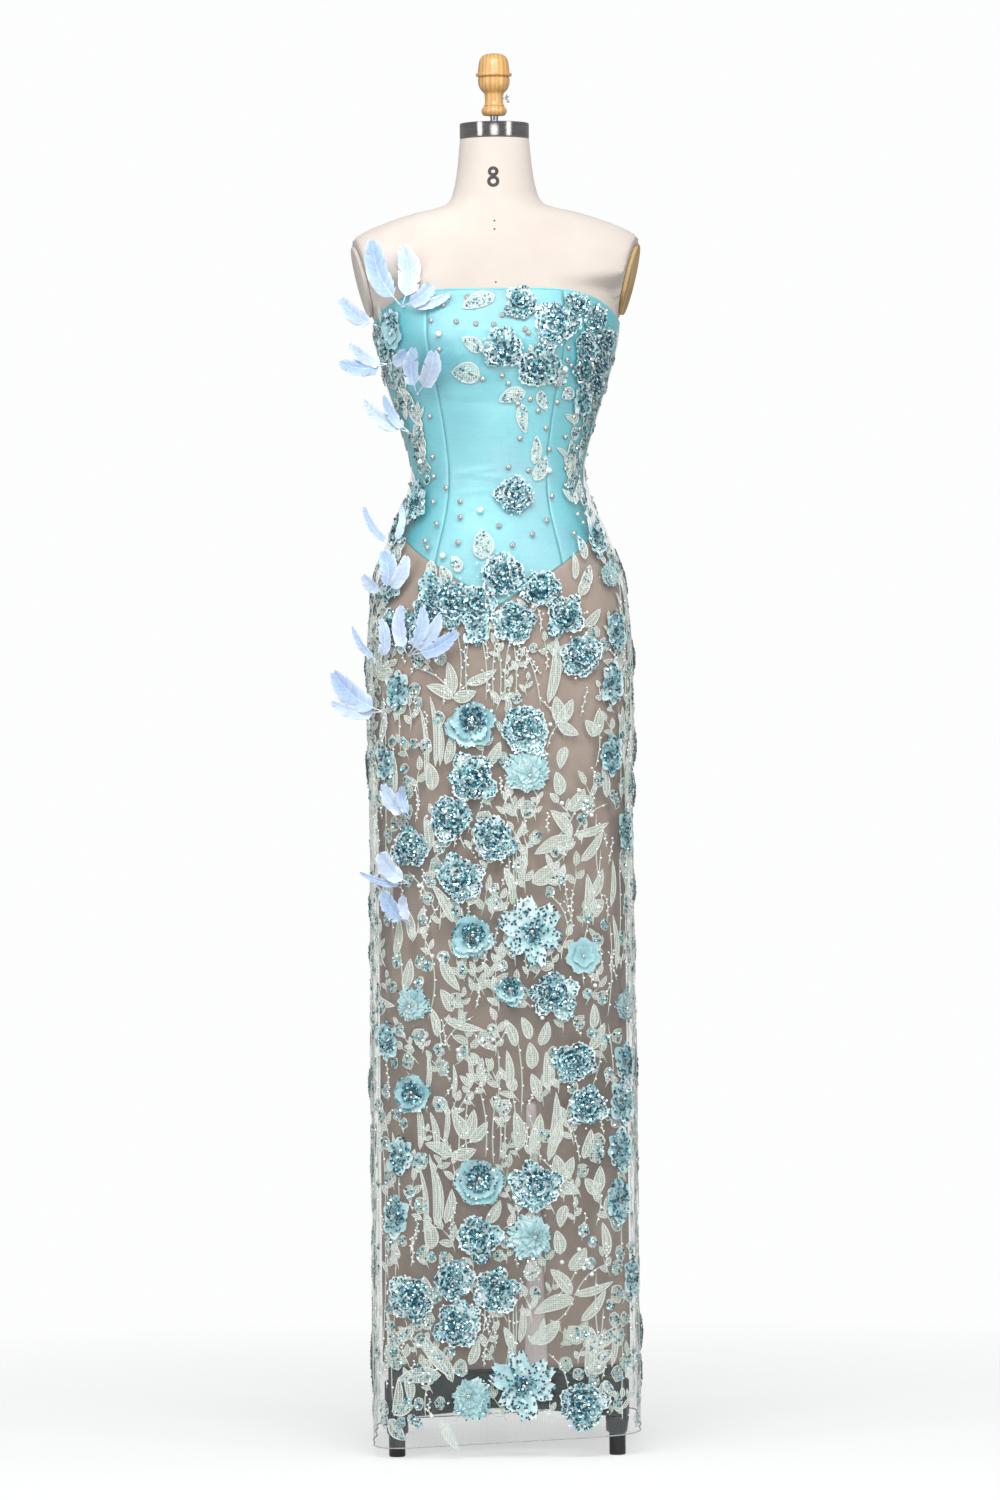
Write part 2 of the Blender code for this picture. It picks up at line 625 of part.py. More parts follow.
def make_lining(parent):
    def top(u):
        return basque_edge(u) - SEAM_GAP
    levels = [top] + [between(top, SKIRT_LEVELS[0], share) for share in HIP_SHARES]
    levels += list(LINING_LEVELS) + [LINING_HEM]
    slit_column = round((SLIT_U - 2.0) * STEPS_PER_QUARTER)
    first_row = min(i for i, level in enumerate(levels) if not callable(level) and level < SLIT_TOP)
    missing = [(slit_column, row) for row in range(first_row, len(levels) - 1)]

    def bend(column, u, height):
        if height > SLIT_BEND_FROM or column not in (slit_column, slit_column + 1):
            return u
        share = min(max((levels[first_row] - height) / (levels[first_row] - LINING_HEM), 0), 1)
        half_gap = 0.5 * mix(SLIT_TOP_WIDTH, SLIT_HEM_WIDTH, share) / LINING_QUARTER
        middle = SLIT_U + 0.5 / STEPS_PER_QUARTER
        return middle + (half_gap if column > slit_column else -half_gap)

    panel("lining_front", 2.0, 4.0, levels, LINING_EASE, FORM_GAP, LINING_THICK, "lining", parent,
          missing=missing, bend=bend)
    panel("lining_back", 0.0, 2.0, levels, LINING_EASE, FORM_GAP, LINING_THICK, "lining", parent)


def make_overlay(parent):
    def top(u):
        return top_edge(u) - OVERLAY_TOP_DROP
    levels = [top] + [between(top, BODICE_LEVELS[0], share) for share in TOP_SHARES]
    levels += list(BODICE_LEVELS) + list(HIP_LEVELS) + list(SKIRT_LEVELS) + [overlay_hem]
    seam = SEAM_GAP / 2

    def zip_edge(height):
        return ZIP_OVERLAY_INSET if height > BASQUE_BACK else seam

    pieces = (
        ("overlay_front", 2.0, 4.0, (seam, seam)),
        ("overlay_back_right", 0.0, 1.0, (seam, zip_edge)),
        ("overlay_back_left", 1.0, 2.0, (zip_edge, seam)),
    )
    made = []
    for name, start, end, insets in pieces:
        made.append(panel(name, start, end, levels, OVERLAY_EASE, OVERLAY_OFFSET, OVERLAY_THICK,
                          "tulle", parent, insets=insets, folds=True))
    return made


# Zip

def make_zip(parent):
    levels = bodice_levels()
    last = len(levels) - 1

    def tape_point(column, row, side):
        level = levels[row]
        height = level(1.0) if callable(level) else level
        out = FORM_GAP + BODICE_THICK * side
        centre = place(None, height, 1.0, out)
        return centre + Vector((ZIP_TAPE_HALF * (1 - 2 * column), 0, 0))

    mesh = wall_mesh("zip_tape", 2, last + 1, tape_point)
    add_object("zip_tape", mesh, "zip", parent)

    # The slider lies on the slope of the tape, its lug standing out of it
    above = place(None, BODICE_LEVELS[0], 1.0, FORM_GAP + BODICE_THICK)
    below = place(None, BODICE_LEVELS[1], 1.0, FORM_GAP + BODICE_THICK)
    up = (above - below).normalized()
    across = Vector((1, 0, 0))
    out = across.cross(up) * -1
    if out.y < 0:
        out = -out
    base = below + up * ((SLIDER_Z - below.z) / up.z)
    turn = Matrix((across, out, up)).transposed().to_4x4()
    width, height, depth = SLIDER_SIZE
    frame = Matrix.Translation(base + out * (PART_GAP + depth / 2)) @ turn
    outline = [(width / 2 * i, height / 2 * j) for i, j in ((-1, -1), (1, -1), (1, 1), (-1, 1))]
    slider = slab("zip_slider", outline, depth, "steel", parent, frame)
    lug_width, lug_height, lug_depth = LUG_SIZE
    lug_frame = Matrix.Translation(base + out * (PART_GAP + depth + lug_depth / 2 - depth / 2)) @ turn
    outline = [(lug_width / 2 * i, lug_height / 2 * j) for i, j in ((-1, -1), (1, -1), (1, 1), (-1, 1))]
    lug = slab("zip_lug_shape", outline, lug_depth + depth, "steel", parent, lug_frame)
    lug.hide_render = True
    lug.display_type = "WIRE"
    join = slider.modifiers.new("lug", "BOOLEAN")
    join.operation = "UNION"
    join.object = lug

    # The pull hangs from the lug, forked round it
    hinge = empty("zip_pull_hinge", base + out * (PART_GAP + depth + PULL_AXIS_OUT))
    hinge.parent = parent
    right = [(x * MM, z * MM) for x, z in PULL_OUTLINE]
    left = [(-x, z) for x, z in reversed(right)]
    fork = [(-right[0][0], PULL_FORK_DEPTH * MM), (right[0][0], PULL_FORK_DEPTH * MM)]
    slab("zip_pull", right + left + fork, PULL_THICK, "steel", hinge)


# Appliqued flowers and feathers

def surface_of(objects):
    """A lookup of the overlay's outer faces, in the dress's own frame."""
    vertices, faces = [], []
    for obj in objects:
        base = len(vertices)
        vertices += [v.co.copy() for v in obj.data.vertices]
        faces += [tuple(base + i for i in polygon.vertices) for polygon in obj.data.polygons]
    return BVHTree.FromPolygons(vertices, faces)


VIEW_FROM = {
    "front": (Vector((1, 0, 0)), Vector((0, -1, 0))),
    "back": (Vector((1, 0, 0)), Vector((0, 1, 0))),
    "left": (Vector((0, 1, 0)), Vector((-1, 0, 0))),
    "right": (Vector((0, 1, 0)), Vector((1, 0, 0))),
}


def drop_on(surface, start, direction):
    """The nearest point of the cloth along a line. Two more lines beside it bridge a seam."""
    sideways = Vector((-direction.y, direction.x, 0)).normalized() * SEAM_STEP
    hits = []
    for shift in (Vector(), sideways, -sideways):
        found = surface.ray_cast(start + shift, direction)
        if found[0] is not None:
            hits.append((found[3], found[0]))
    return min(hits, key=lambda hit: hit[0])[1] if hits else None


def seat(surface, side, across, height):
    """The point of the overlay at a place seen from one side, with its outward normal."""
    axis, outward = VIEW_FROM[side]
    while True:
        start = axis * across + Vector((0, 0, height)) + outward
        centre = drop_on(surface, start, -outward)
        if centre is not None:
            break
        across *= SEAT_STEP_IN
    step = SEAT_REACH
    corners = []
    for along, up in ((step, 0), (-step, 0), (0, step), (0, -step)):
        corner = drop_on(surface, start + axis * along + Vector((0, 0, up)), -outward)
        corners.append(corner if corner is not None else centre + axis * along + Vector((0, 0, up)))
    normal = (corners[0] - corners[1]).cross(corners[2] - corners[3]).normalized()
    if normal.dot(outward) < 0:
        normal.negate()
    return centre, normal


def flower_spots(radius, petals, phase):
    """The flower's corners in its own plane, ring by ring, each with its thickness."""
    spots = []
    for share, rise in FLOWER_RINGS:
        for spoke in range(petals if share else 1):
            turn = phase + 2 * math.pi * spoke / petals
            reach = radius * share
            if petals == ORCHID_CORNERS and share == 1.0 and spoke % 2 and spoke > 1:
                reach *= PETAL_DIP
            spots.append((reach * math.cos(turn), reach * math.sin(turn), rise * MM))
    return spots


def flower_heights(surface, frame, spots, petals):
    """How high each corner must stand for the flower's flat faces to clear the cloth."""
    centre, normal, right, up = frame

    def cloth_height(along, above):
        flat = centre + right * along + up * above
        found = drop_on(surface, flat + normal * LOOK_FROM, -normal)
        return 0.0 if found is None else (found - centre).dot(normal)

    heights = [cloth_height(along, above) for along, above, _ in spots]
    pairs = []
    for spoke in range(petals):
        after = (spoke + 1) % petals
        inner, outer = 1 + spoke, 1 + petals + spoke
        pairs += [(0, inner), (inner, outer), (inner, 1 + after), (outer, 1 + petals + after)]
        pairs += [(inner, 1 + petals + after), (outer, 1 + after)]
    for start, end in pairs:
        a, b = spots[start], spots[end]
        for share in (0.25, 0.5, 0.75):
            cloth = cloth_height(mix(a[0], b[0], share), mix(a[1], b[1], share))
            short = cloth - mix(heights[start], heights[end], share)
            if short > 0:
                heights[start] += short
                heights[end] += short
    return heights


def make_spray(name, side, flowers, surface, parent):
    """Flowers that follow the overlay, joined by short webs into one closed body."""
    vertices, faces, walls, centres = [], [], [], []
    frames = []
    for across, height, radius, petals, link in flowers:
        centre, normal = seat(surface, side, across * MM, height * MM)
        up = (Vector((0, 0, 1)) - normal * normal.z).normalized()
        right = up.cross(normal)
        frames.append((centre, normal, right, up))
        centres.append(centre)
    for number, (across, height, radius, petals, link) in enumerate(flowers):
        centre, normal, right, up = frames[number]
        partner = link
        if partner is None:
            partner = next((i for i, row in enumerate(flowers) if row[4] == number), None)
        phase = 0.0
        if partner is not None:
            towards = centres[partner] - centre
            phase = math.atan2(towards.dot(up), towards.dot(right)) - math.pi / petals
        base = len(vertices)
        spots = flower_spots(radius * MM, petals, phase)
        heights = flower_heights(surface, frames[number], spots, petals)
        for top in (0, 1):
            for (along, above, rise), height_here in zip(spots, heights):
                lift = height_here + APPLIQUE_GAP + (rise if top else 0)
                vertices.append(centre + right * along + up * above + normal * lift)
        layer = 1 + 2 * petals
        for top in (0, 1):
            first = base + top * layer
            for spoke in range(petals):
                after = (spoke + 1) % petals
                faces.append((first, first + 1 + spoke, first + 1 + after))
                inner, outer = first + 1, first + 1 + petals
                faces.append((inner + spoke, outer + spoke, outer + after, inner + after))
        rim = base + 1 + petals
        for spoke in range(petals):
            after = (spoke + 1) % petals
            wall = (rim + spoke, rim + after, rim + layer + after, rim + layer + spoke)
            middle = sum((vertices[v] for v in wall), Vector()) / 4
            walls.append([number, wall, middle])
    used = set()
    for number, row in enumerate(flowers):
        link = row[4]
        if link is None:
            continue
        pair = []
        for mine, other in ((number, link), (link, number)):
            choices = [i for i, w in enumerate(walls) if w[0] == mine and i not in used]
            best = min(choices, key=lambda i: (walls[i][2] - centres[other]).length)
            used.add(best)
            pair.append(walls[best][1])
        (a0, a1, a2, a3), (b0, b1, b2, b3) = pair
        faces += [(a0, a1, b0, b1), (a3, b2, b3, a2), (a0, b1, b2, a3), (a1, a2, b3, b0)]
    faces += [wall for i, (_, wall, _) in enumerate(walls) if i not in used]
    add_object(name, mesh_from(name, vertices, faces), "applique", parent)


def front_of(surface, point, width):
    """How far forward the dress or its form reaches behind a feather at this point."""
    reached = []
    for across, up in FEATHER_PROBES:
        start = Vector((point.x + across * width * MM, -1, point.z + up * width * MM))
        hit = drop_on(surface, start, Vector((0, 1, 0)))
        if hit is not None:
            reached.append(hit.y)
    return min(reached, default=1.0)


def make_tuft(name, root_x, root_z, feathers, surface, parent):
    """Feathers fanned out of one small knot, as one closed body."""
    root, normal = seat(surface, "front", root_x * MM, root_z * MM)
    # The knot lies along the cloth, and the feathers turn to face the viewer
    knot_up = (Vector((0, 0, 1)) - normal * normal.z).normalized()
    knot_right = knot_up.cross(normal)
    right, up, outward = Vector((1, 0, 0)), Vector((0, 0, 1)), Vector((0, -1, 0))
    root = root + normal * KNOT_GAP
    count = len(feathers)
    vertices, faces = [], []
    # The knot: count + 1 pairs of corners at its foot and at its top
    for level in (0, 1):
        for step in range(count + 1):
            across = (step - count / 2) * QUILL_WIDTH * (KNOT_SPREAD if level else 1)
            for depth in (0, 1):
                corner = root + knot_right * across + knot_up * (KNOT_HEIGHT * (level - 0.5))
                vertices.append(corner + normal * (QUILL_THICK * depth))

    def knot(level, step, depth):
        return level * 2 * (count + 1) + step * 2 + depth

    for step in range(count):
        faces.append((knot(0, step, 0), knot(0, step + 1, 0), knot(0, step + 1, 1), knot(0, step, 1)))
        for depth in (0, 1):
            faces.append((knot(0, step, depth), knot(0, step + 1, depth),
                          knot(1, step + 1, depth), knot(1, step, depth)))
    for step in (0, count):
        faces.append((knot(0, step, 0), knot(0, step, 1), knot(1, step, 1), knot(1, step, 0)))
    for number, (tip_x, tip_z, width, lift) in enumerate(feathers):
        start = root + knot_right * ((number + 0.5 - count / 2) * QUILL_WIDTH * KNOT_SPREAD)
        start += knot_up * (KNOT_HEIGHT / 2) + normal * (QUILL_THICK / 2)
        reach = right * (tip_x * MM) + up * (tip_z * MM)
        side_way = Vector((reach.z, 0, -reach.x)).normalized()
        bend = side_way * reach.length * FEATHER_BOW * (1 if tip_x < 0 else -1)
        previous = [knot(1, number, 0), knot(1, number + 1, 0), knot(1, number + 1, 1), knot(1, number, 1)]
        for share, part_width, thick in FEATHER_STATIONS:
            middle = start + reach * share - bend * math.sin(math.pi * share)
            middle += outward * (lift * MM * share ** LIFT_CURVE)
            middle.y = min(middle.y, front_of(surface, middle, width) - lift * MM * share ** CLEAR_CURVE)
            along = reach - bend * math.pi * math.cos(math.pi * share)
            wide = Vector((along.z, 0, -along.x)).normalized() * (width * MM * part_width / 2)
            deep = outward * (thick * MM / 2)
            base = len(vertices)
            vertices += [middle - wide - deep, middle + wide - deep, middle + wide + deep, middle - wide + deep]
            ring = [base, base + 1, base + 2, base + 3]
            for i in range(4):
                j = (i + 1) % 4
                faces.append((previous[i], previous[j], ring[j], ring[i]))
            previous = ring
        faces.append(tuple(previous))
    add_object(name, mesh_from(name, vertices, faces), "feather", parent)


# Dress form and stand

def armhole_plane(y, z):
    return ARMHOLE_BASE + ARMHOLE_TILT * (z - ARMHOLE_HEIGHT) + ARMHOLE_YAW * y


def make_torso(parent):
    levels = list(SHOULDER_LEVELS) + list(BODICE_LEVELS) + list(HIP_LEVELS)
    levels += [level for level in SKIRT_LEVELS if level > TORSO_BOTTOM] + [TORSO_BOTTOM]
    sides = 4 * STEPS_PER_QUARTER
    vertices, faces = [], []
    for height in levels:
        for step in range(sides):
            point = place(None, height, step / STEPS_PER_QUARTER, 0.0)
            limit = armhole_plane(point.y, point.z)
            level_side = PLATE_FLAT[0] < point.y < PLATE_FLAT[1] and height < PLATE_TOP
            if height > ARMHOLE_HEIGHT and (level_side or abs(point.x) > limit):
                point.x = math.copysign(limit, point.x)
            vertices.append(point)
    for ring in range(len(levels) - 1):
        for step in range(sides):
            after = (step + 1) % sides
            a, b = ring * sides + step, ring * sides + after
            faces += [(a, b, b + sides), (a, b + sides, a + sides)]
    faces.append(tuple(range(sides)))
    faces.append(tuple(range((len(levels) - 1) * sides, len(levels) * sides)))
    return add_object("form_torso", mesh_from("form_torso", vertices, faces), "linen", parent)


def make_armhole_plates(parent):
    for side, name in ((1, "armhole_plate_right"), (-1, "armhole_plate_left")):
        normal = Vector((side, -ARMHOLE_YAW, -ARMHOLE_TILT)).normalized()
        up = Vector((side * ARMHOLE_TILT, 0, 1)).normalized()
        across = up.cross(normal).normalized()
        centre = Vector((side * armhole_plane(0, PLATE_CENTRE_Z), 0, PLATE_CENTRE_Z))
        centre += normal * (PART_GAP + PLATE_THICK / 2)
        frame = Matrix.Translation(centre) @ Matrix((across, normal, up)).transposed().to_4x4()
        outline = []
        for step in range(PLATE_SIDES):
            turn = 2 * math.pi * step / PLATE_SIDES
            outline.append((PLATE_HALF_WIDTH * math.cos(turn), PLATE_HALF_HEIGHT * math.sin(turn)))
        slab(name, outline, PLATE_THICK, "plate", parent, frame)


def make_stand(parent):
    turned("pole", ((POLE_RADIUS / MM, TORSO_BOTTOM / MM - 0.3), (POLE_RADIUS / MM, BASE_TOP / MM + 0.3)),
           "steel", parent, 16)
    # The base: four arms on the diagonals, round at their ends, meeting in a hub
    outline = []
    for quarter in range(4):
        middle = math.radians(45 + 90 * quarter)
        along = Vector((math.cos(middle), math.sin(middle)))
        across = Vector((-along.y, along.x))
        reach = FOOT_REACH * math.sqrt(2)
        for turn in (-90, -45, 0, 45, 90):
            bend = math.radians(turn)
            spot = along * (reach + ARM_HALF_WIDTH * math.cos(bend))
            outline.append(spot + across * (ARM_HALF_WIDTH * math.sin(bend)))
        for share in (0.25, 0.5, 0.75):
            corner = middle + math.radians(90) * share
            outline.append(Vector((math.cos(corner), math.sin(corner))) * HUB_RADIUS)
    count = len(outline)
    vertices = [(p.x, p.y, BASE_TOP) for p in outline] + [(p.x, p.y, BASE_BOTTOM) for p in outline]
    faces = [tuple(range(count)), tuple(range(count, 2 * count))]
    faces += [(i, (i + 1) % count, count + (i + 1) % count, count + i) for i in range(count)]
    add_object("stand_base", mesh_from("stand_base", vertices, faces), "cast_iron", parent)
    corners = ((-1, -1, "front_left"), (1, -1, "front_right"), (-1, 1, "back_left"), (1, 1, "back_right"))
    for x, y, corner in corners:
        spot = (x * FOOT_REACH, y * FOOT_REACH)
        turned("foot_" + corner, FOOT_PROFILE, "cast_iron", parent, 12, spot)


def make_neck(parent):
    turned("neck_cap", CAP_PROFILE, "chrome", parent, 24)
    turned("neck_rod", ROD_PROFILE, "steel", parent, 12)
    turned("neck_knob", KNOB_PROFILE, "wood", parent, 14)
    axis = empty("wing_screw_axis", (0, 0, SCREW_Z))
    axis.parent = parent
    upper = [(x * MM, z * MM) for x, z in SCREW_OUTLINE]
    lower = [(x, -z) for x, z in reversed(upper)]
    slab("wing_screw", upper + lower, SCREW_THICK, "steel", axis)


def main():
    clear_scene()
    axis = empty("dress_axis", (AXIS_X, AXIS_Y, 0))
    torso = make_torso(axis)
    make_armhole_plates(axis)
    make_stand(axis)
    make_neck(axis)
    make_bodice(axis)
    make_lining(axis)
    overlay = make_overlay(axis)
    make_zip(axis)
    surface = surface_of(overlay)
    for name, (side, flowers) in SPRAYS.items():
        make_spray(name, side, flowers, surface, axis)
    figure = surface_of(overlay + [torso])
    for name, (root_x, root_z, feathers) in TUFTS.items():
        make_tuft(name, root_x, root_z, feathers, figure, axis)


main()
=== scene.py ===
# The looks of a strapless maxi dress with an embroidered tulle overlay, on a limbless dress form.
# Metres, +Z up. The front faces -Y and +X is the viewer's right.

import math

import bmesh
import bpy
import numpy as np
from mathutils import Matrix, Vector
from mathutils.bvhtree import BVHTree


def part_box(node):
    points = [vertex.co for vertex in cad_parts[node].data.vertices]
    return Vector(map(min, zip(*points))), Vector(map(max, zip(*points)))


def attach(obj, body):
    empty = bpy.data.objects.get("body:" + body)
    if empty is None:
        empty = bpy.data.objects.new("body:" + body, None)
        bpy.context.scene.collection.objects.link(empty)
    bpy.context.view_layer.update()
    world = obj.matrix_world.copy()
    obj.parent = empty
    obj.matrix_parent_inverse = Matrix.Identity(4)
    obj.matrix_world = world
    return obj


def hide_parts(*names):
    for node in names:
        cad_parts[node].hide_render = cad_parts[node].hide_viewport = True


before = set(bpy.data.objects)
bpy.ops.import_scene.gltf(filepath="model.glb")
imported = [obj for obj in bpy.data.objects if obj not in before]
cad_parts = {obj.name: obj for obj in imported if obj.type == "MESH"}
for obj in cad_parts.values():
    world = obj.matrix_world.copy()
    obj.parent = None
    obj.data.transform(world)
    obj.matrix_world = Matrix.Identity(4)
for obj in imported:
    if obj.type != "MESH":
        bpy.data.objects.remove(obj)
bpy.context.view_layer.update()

MM = 0.001
MAIN = "dress_and_form"
rng = np.random.default_rng(8)

# The dress's axis runs up the middle of the form's neck cap
CAP_LOW, CAP_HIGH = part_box("neck_cap")
AXIS = np.array(((CAP_LOW.x + CAP_HIGH.x) / 2, (CAP_LOW.y + CAP_HIGH.y) / 2, 0.0))

# Camera, level with the thighs and far off. Its roll leans the top of the dress to the left.
CAMERA_AWAY = 9.0
CAMERA_HEIGHT = 0.970
AIM_HEIGHT = 0.902
AIM_ACROSS = -0.0006
LENS = 166.2
ROLL = 0.57

# The dress form's figure. Rows run from the neck down, in millimetres.
# height, half width, front depth, back depth, squareness of the section, bust lobe
FIGURE = (
    (1695, 45.0, 45.0, 45.0, 2.00, 0),
    (1655, 49.0, 49.0, 50.0, 2.00, 0),
    (1622, 56.0, 54.0, 58.0, 2.00, 0),
    (1609, 66.0, 58.0, 63.0, 2.00, 0),
    (1600, 104.0, 61.0, 68.0, 2.00, 0),
    (1588, 142.0, 65.0, 75.0, 2.05, 0),
    (1576, 170.0, 70.0, 82.0, 2.15, 0),
    (1562, 192.0, 77.0, 89.0, 2.40, 0),
    (1545, 205.0, 84.0, 95.0, 2.65, 0),
    (1520, 205.0, 92.0, 101.0, 2.70, 0),
    (1496, 160.0, 100.0, 104.0, 2.45, 3),
    (1475, 159.5, 108.0, 105.0, 2.35, 7),
    (1455, 158.0, 113.0, 104.0, 2.30, 11),
    (1435, 155.5, 116.0, 102.0, 2.25, 13),
    (1415, 151.5, 114.0, 100.0, 2.20, 12),
    (1395, 146.0, 109.0, 97.0, 2.20, 9),
    (1375, 140.0, 104.0, 94.0, 2.20, 5),
    (1350, 132.0, 100.0, 91.0, 2.20, 2),
    (1320, 122.5, 96.5, 88.0, 2.20, 0),
    (1290, 114.0, 93.5, 86.0, 2.20, 0),
    (1262, 109.0, 92.0, 86.0, 2.20, 0),
    (1240, 109.5, 93.0, 88.0, 2.20, 0),
    (1215, 115.0, 96.0, 93.0, 2.20, 0),
    (1190, 124.5, 101.0, 100.0, 2.25, 0),
    (1160, 139.0, 107.0, 110.0, 2.30, 0),
    (1130, 152.0, 111.0, 118.0, 2.30, 0),
    (1100, 160.0, 113.5, 124.0, 2.30, 0),
    (1060, 165.0, 115.5, 129.0, 2.35, 0),
    (1010, 167.5, 117.0, 131.0, 2.35, 0),
    (960, 167.0, 117.0, 131.0, 2.35, 0),
    (900, 162.0, 115.0, 127.0, 2.30, 0),
    (860, 157.0, 113.0, 122.0, 2.30, 0),
    (600, 152.0, 112.0, 118.0, 2.30, 0),
    (0, 152.0, 114.0, 118.0, 2.30, 0),
)
LOBE_X = 78 * MM
LOBE_SPREAD = 44 * MM

# How far each skirt layer stands off the figure, on top of its even offset, in millimetres
# height, at the sides, at the front, at the back, added squareness
LINING_EASE = (
    (1500, 0, 0, 0, 0),
    (1010, 0, 0, 0, 0),
    (955, 0.6, 1, 1, 0),
    (900, 2.5, 4, 4, 0),
    (860, 4, 6.5, 6.5, 0),
    (740, 5, 9, 9, 0.05),
    (580, 6, 12, 12, 0.10),
    (260, 6.5, 15, 15, 0.15),
    (0, 7, 17, 17, 0.20),
)
OVERLAY_EASE = (
    (1500, 0, 0, 0, 0),
    (1290, 0, 0, 0, 0),
    (1262, 0.5, 0, 0, 0),
    (1227, 6.5, 1, 1.5, 0),
    (1190, 10.5, 2, 3, 0),
    (1165, 8.5, 2, 3, 0),
    (1130, 5.5, 1.5, 2.5, 0),
    (1071, 1.2, 1, 1.5, 0),
    (1010, 1.0, 1.2, 1.5, 0),
    (955, 2.5, 3, 3, 0.05),
    (915, 5, 7, 7, 0.15),
    (860, 9, 12, 12, 0.3),
    (740, 11, 20, 19, 0.6),
    (580, 12.5, 30, 28, 1.1),
    (420, 12.5, 41, 38, 1.9),
    (260, 12.5, 52, 48, 3.2),
    (120, 13, 60, 56, 4.9),
    (0, 13.5, 66, 62, 6.0),
)
FORM_GAP = 0.95 * MM
BODICE_THICK = 1.3 * MM
BODICE_OFFSET = 2.3 * MM
LINING_OFFSET = 2.1 * MM
OVERLAY_OFFSET = 3.4 * MM
LACE_OFFSET = 3.9 * MM

# Soft vertical folds of the overlay: quarter turn, width in quarter turns, height out of the
# cloth in millimetres, height at which it starts
OVERLAY_FOLDS = (
    (0.16, 0.07, 4.0, 1020),
    (0.38, 0.08, 3.0, 900),
    (0.66, 0.09, 4.5, 980),
    (1.36, 0.09, 4.0, 960),
    (1.62, 0.08, 3.5, 1000),
    (1.85, 0.07, 4.0, 940),
    (2.17, 0.07, 4.5, 1060),
    (2.36, 0.07, 3.5, 930),
    (2.60, 0.08, 2.5, 820),
    (3.30, 0.08, 2.5, 700),
    (3.62, 0.08, 3.5, 900),
    (3.84, 0.07, 4.5, 1040),
)
# Finer pleats that the net takes at the side seams and beside the centre back
OVERLAY_PLEATS = (
    (0.05, 0.018, 1.6, 1130),
    (0.11, 0.015, 1.2, 1040),
    (0.24, 0.020, 1.3, 960),
    (0.90, 0.020, 1.2, 1000),
    (1.10, 0.018, 1.3, 1020),
    (1.94, 0.016, 1.6, 1120),
    (2.03, 0.014, 1.4, 1140),
    (2.09, 0.018, 1.8, 1080),
    (2.26, 0.020, 1.2, 960),
    (3.73, 0.020, 1.3, 980),
    (3.90, 0.016, 1.8, 1100),
    (3.97, 0.014, 1.5, 1140),
)
FOLD_GROWTH = 0.45

# Grid on which the skins of the layers are kept
QUARTER_SAMPLES = 240
GATHER = 2.5
QUARTERS = np.linspace(1.0, 5.0, 801)
ROUNDS = np.linspace(-0.34, 0.34, 227)
FACE_REACH = 0.21
SKIN_STEP = 4 * MM
DRESS_TOP = 1.500

# Edges of the cloth
TOP_FRONT = 1.496
TOP_SIDE = 1.455
TOP_BACK = 1.440
TOP_CURVE = 5
BASQUE_SIDE = 1.180
BASQUE_FRONT = 1.088
BASQUE_BACK = 1.075
BASQUE_HALF_WIDTH = 0.145
BASQUE_BACK_FLAT = 0.028
LINING_HEM = 0.110
OVERLAY_HEM = 0.021
OVERLAY_HEM_TILT = 0.048
SLIT_TOP = 0.45
SLIT_MIDDLE = 3.15
SLIT_TOP_WIDTH = 1.5 * MM
SLIT_HEM_WIDTH = 25 * MM
SLIT_FADE = 0.30
SLIT_NEAR = 0.02
SLIT_STRETCH = 1.6
LINING_QUARTER = 0.228
RIPPLE_START = 0.08
RIPPLE_END = 0.10
FACING_TOP = 0.52
FACING_HALF = 0.105
FACING_DEPTH = 2.6 * MM
FACING_SAG = 0.5 * MM
FACING_HOLLOW = 0.02
ZIP_PANEL_INSET = 5.0 * MM
ZIP_OVERLAY_INSET = 5.15 * MM
BASQUE_MIDDLE = 1.130
OVERLAY_TOP_DROP = 1.0 * MM
SEAM_GAP = 0.3 * MM
SEAM_STEP = 0.7 * MM
ZIP_BOTTOM = 1.076
ZIP_TOP = 1.438
TOOTH_STEP = 2 * MM
TOOTH_OUT, TOOTH_IN = 1.9, 0.7
# Sections in millimetres: the tape's is seen from above, a tooth's from the side
TAPE_SECTION = ((-4.6, 0.0), (-2.4, 0.1), (0.0, 0.15), (2.4, 0.1), (4.6, 0.0))
TOOTH_SECTION = ((-0.35, -0.55), (-0.35, 0.55), (0.45, 0.40), (0.45, -0.40))
PANEL_EDGE = 0.15 * MM
SEAM_PRESS = 0.35 * MM
SEAM_ROUND = 2.6 * MM
LINING_THICK = 0.8 * MM
FACING_THICK = 0.6 * MM
TAPE_THICK = 0.5 * MM
QUARTER_CLOTH = 0.235
PRESS_SPAN = 0.24
# Panels of the bodice: from and to which quarter turn, columns, whether the zip is at either edge
BODICE_PANELS = (
    (2.6, 3.4, 46, False, False),
    (3.4, 4.0, 36, False, False),
    (2.0, 2.6, 36, False, False),
    (4.0, 5.0, 48, False, True),
    (1.0, 2.0, 48, True, False),
)
BODICE_ROWS = 132

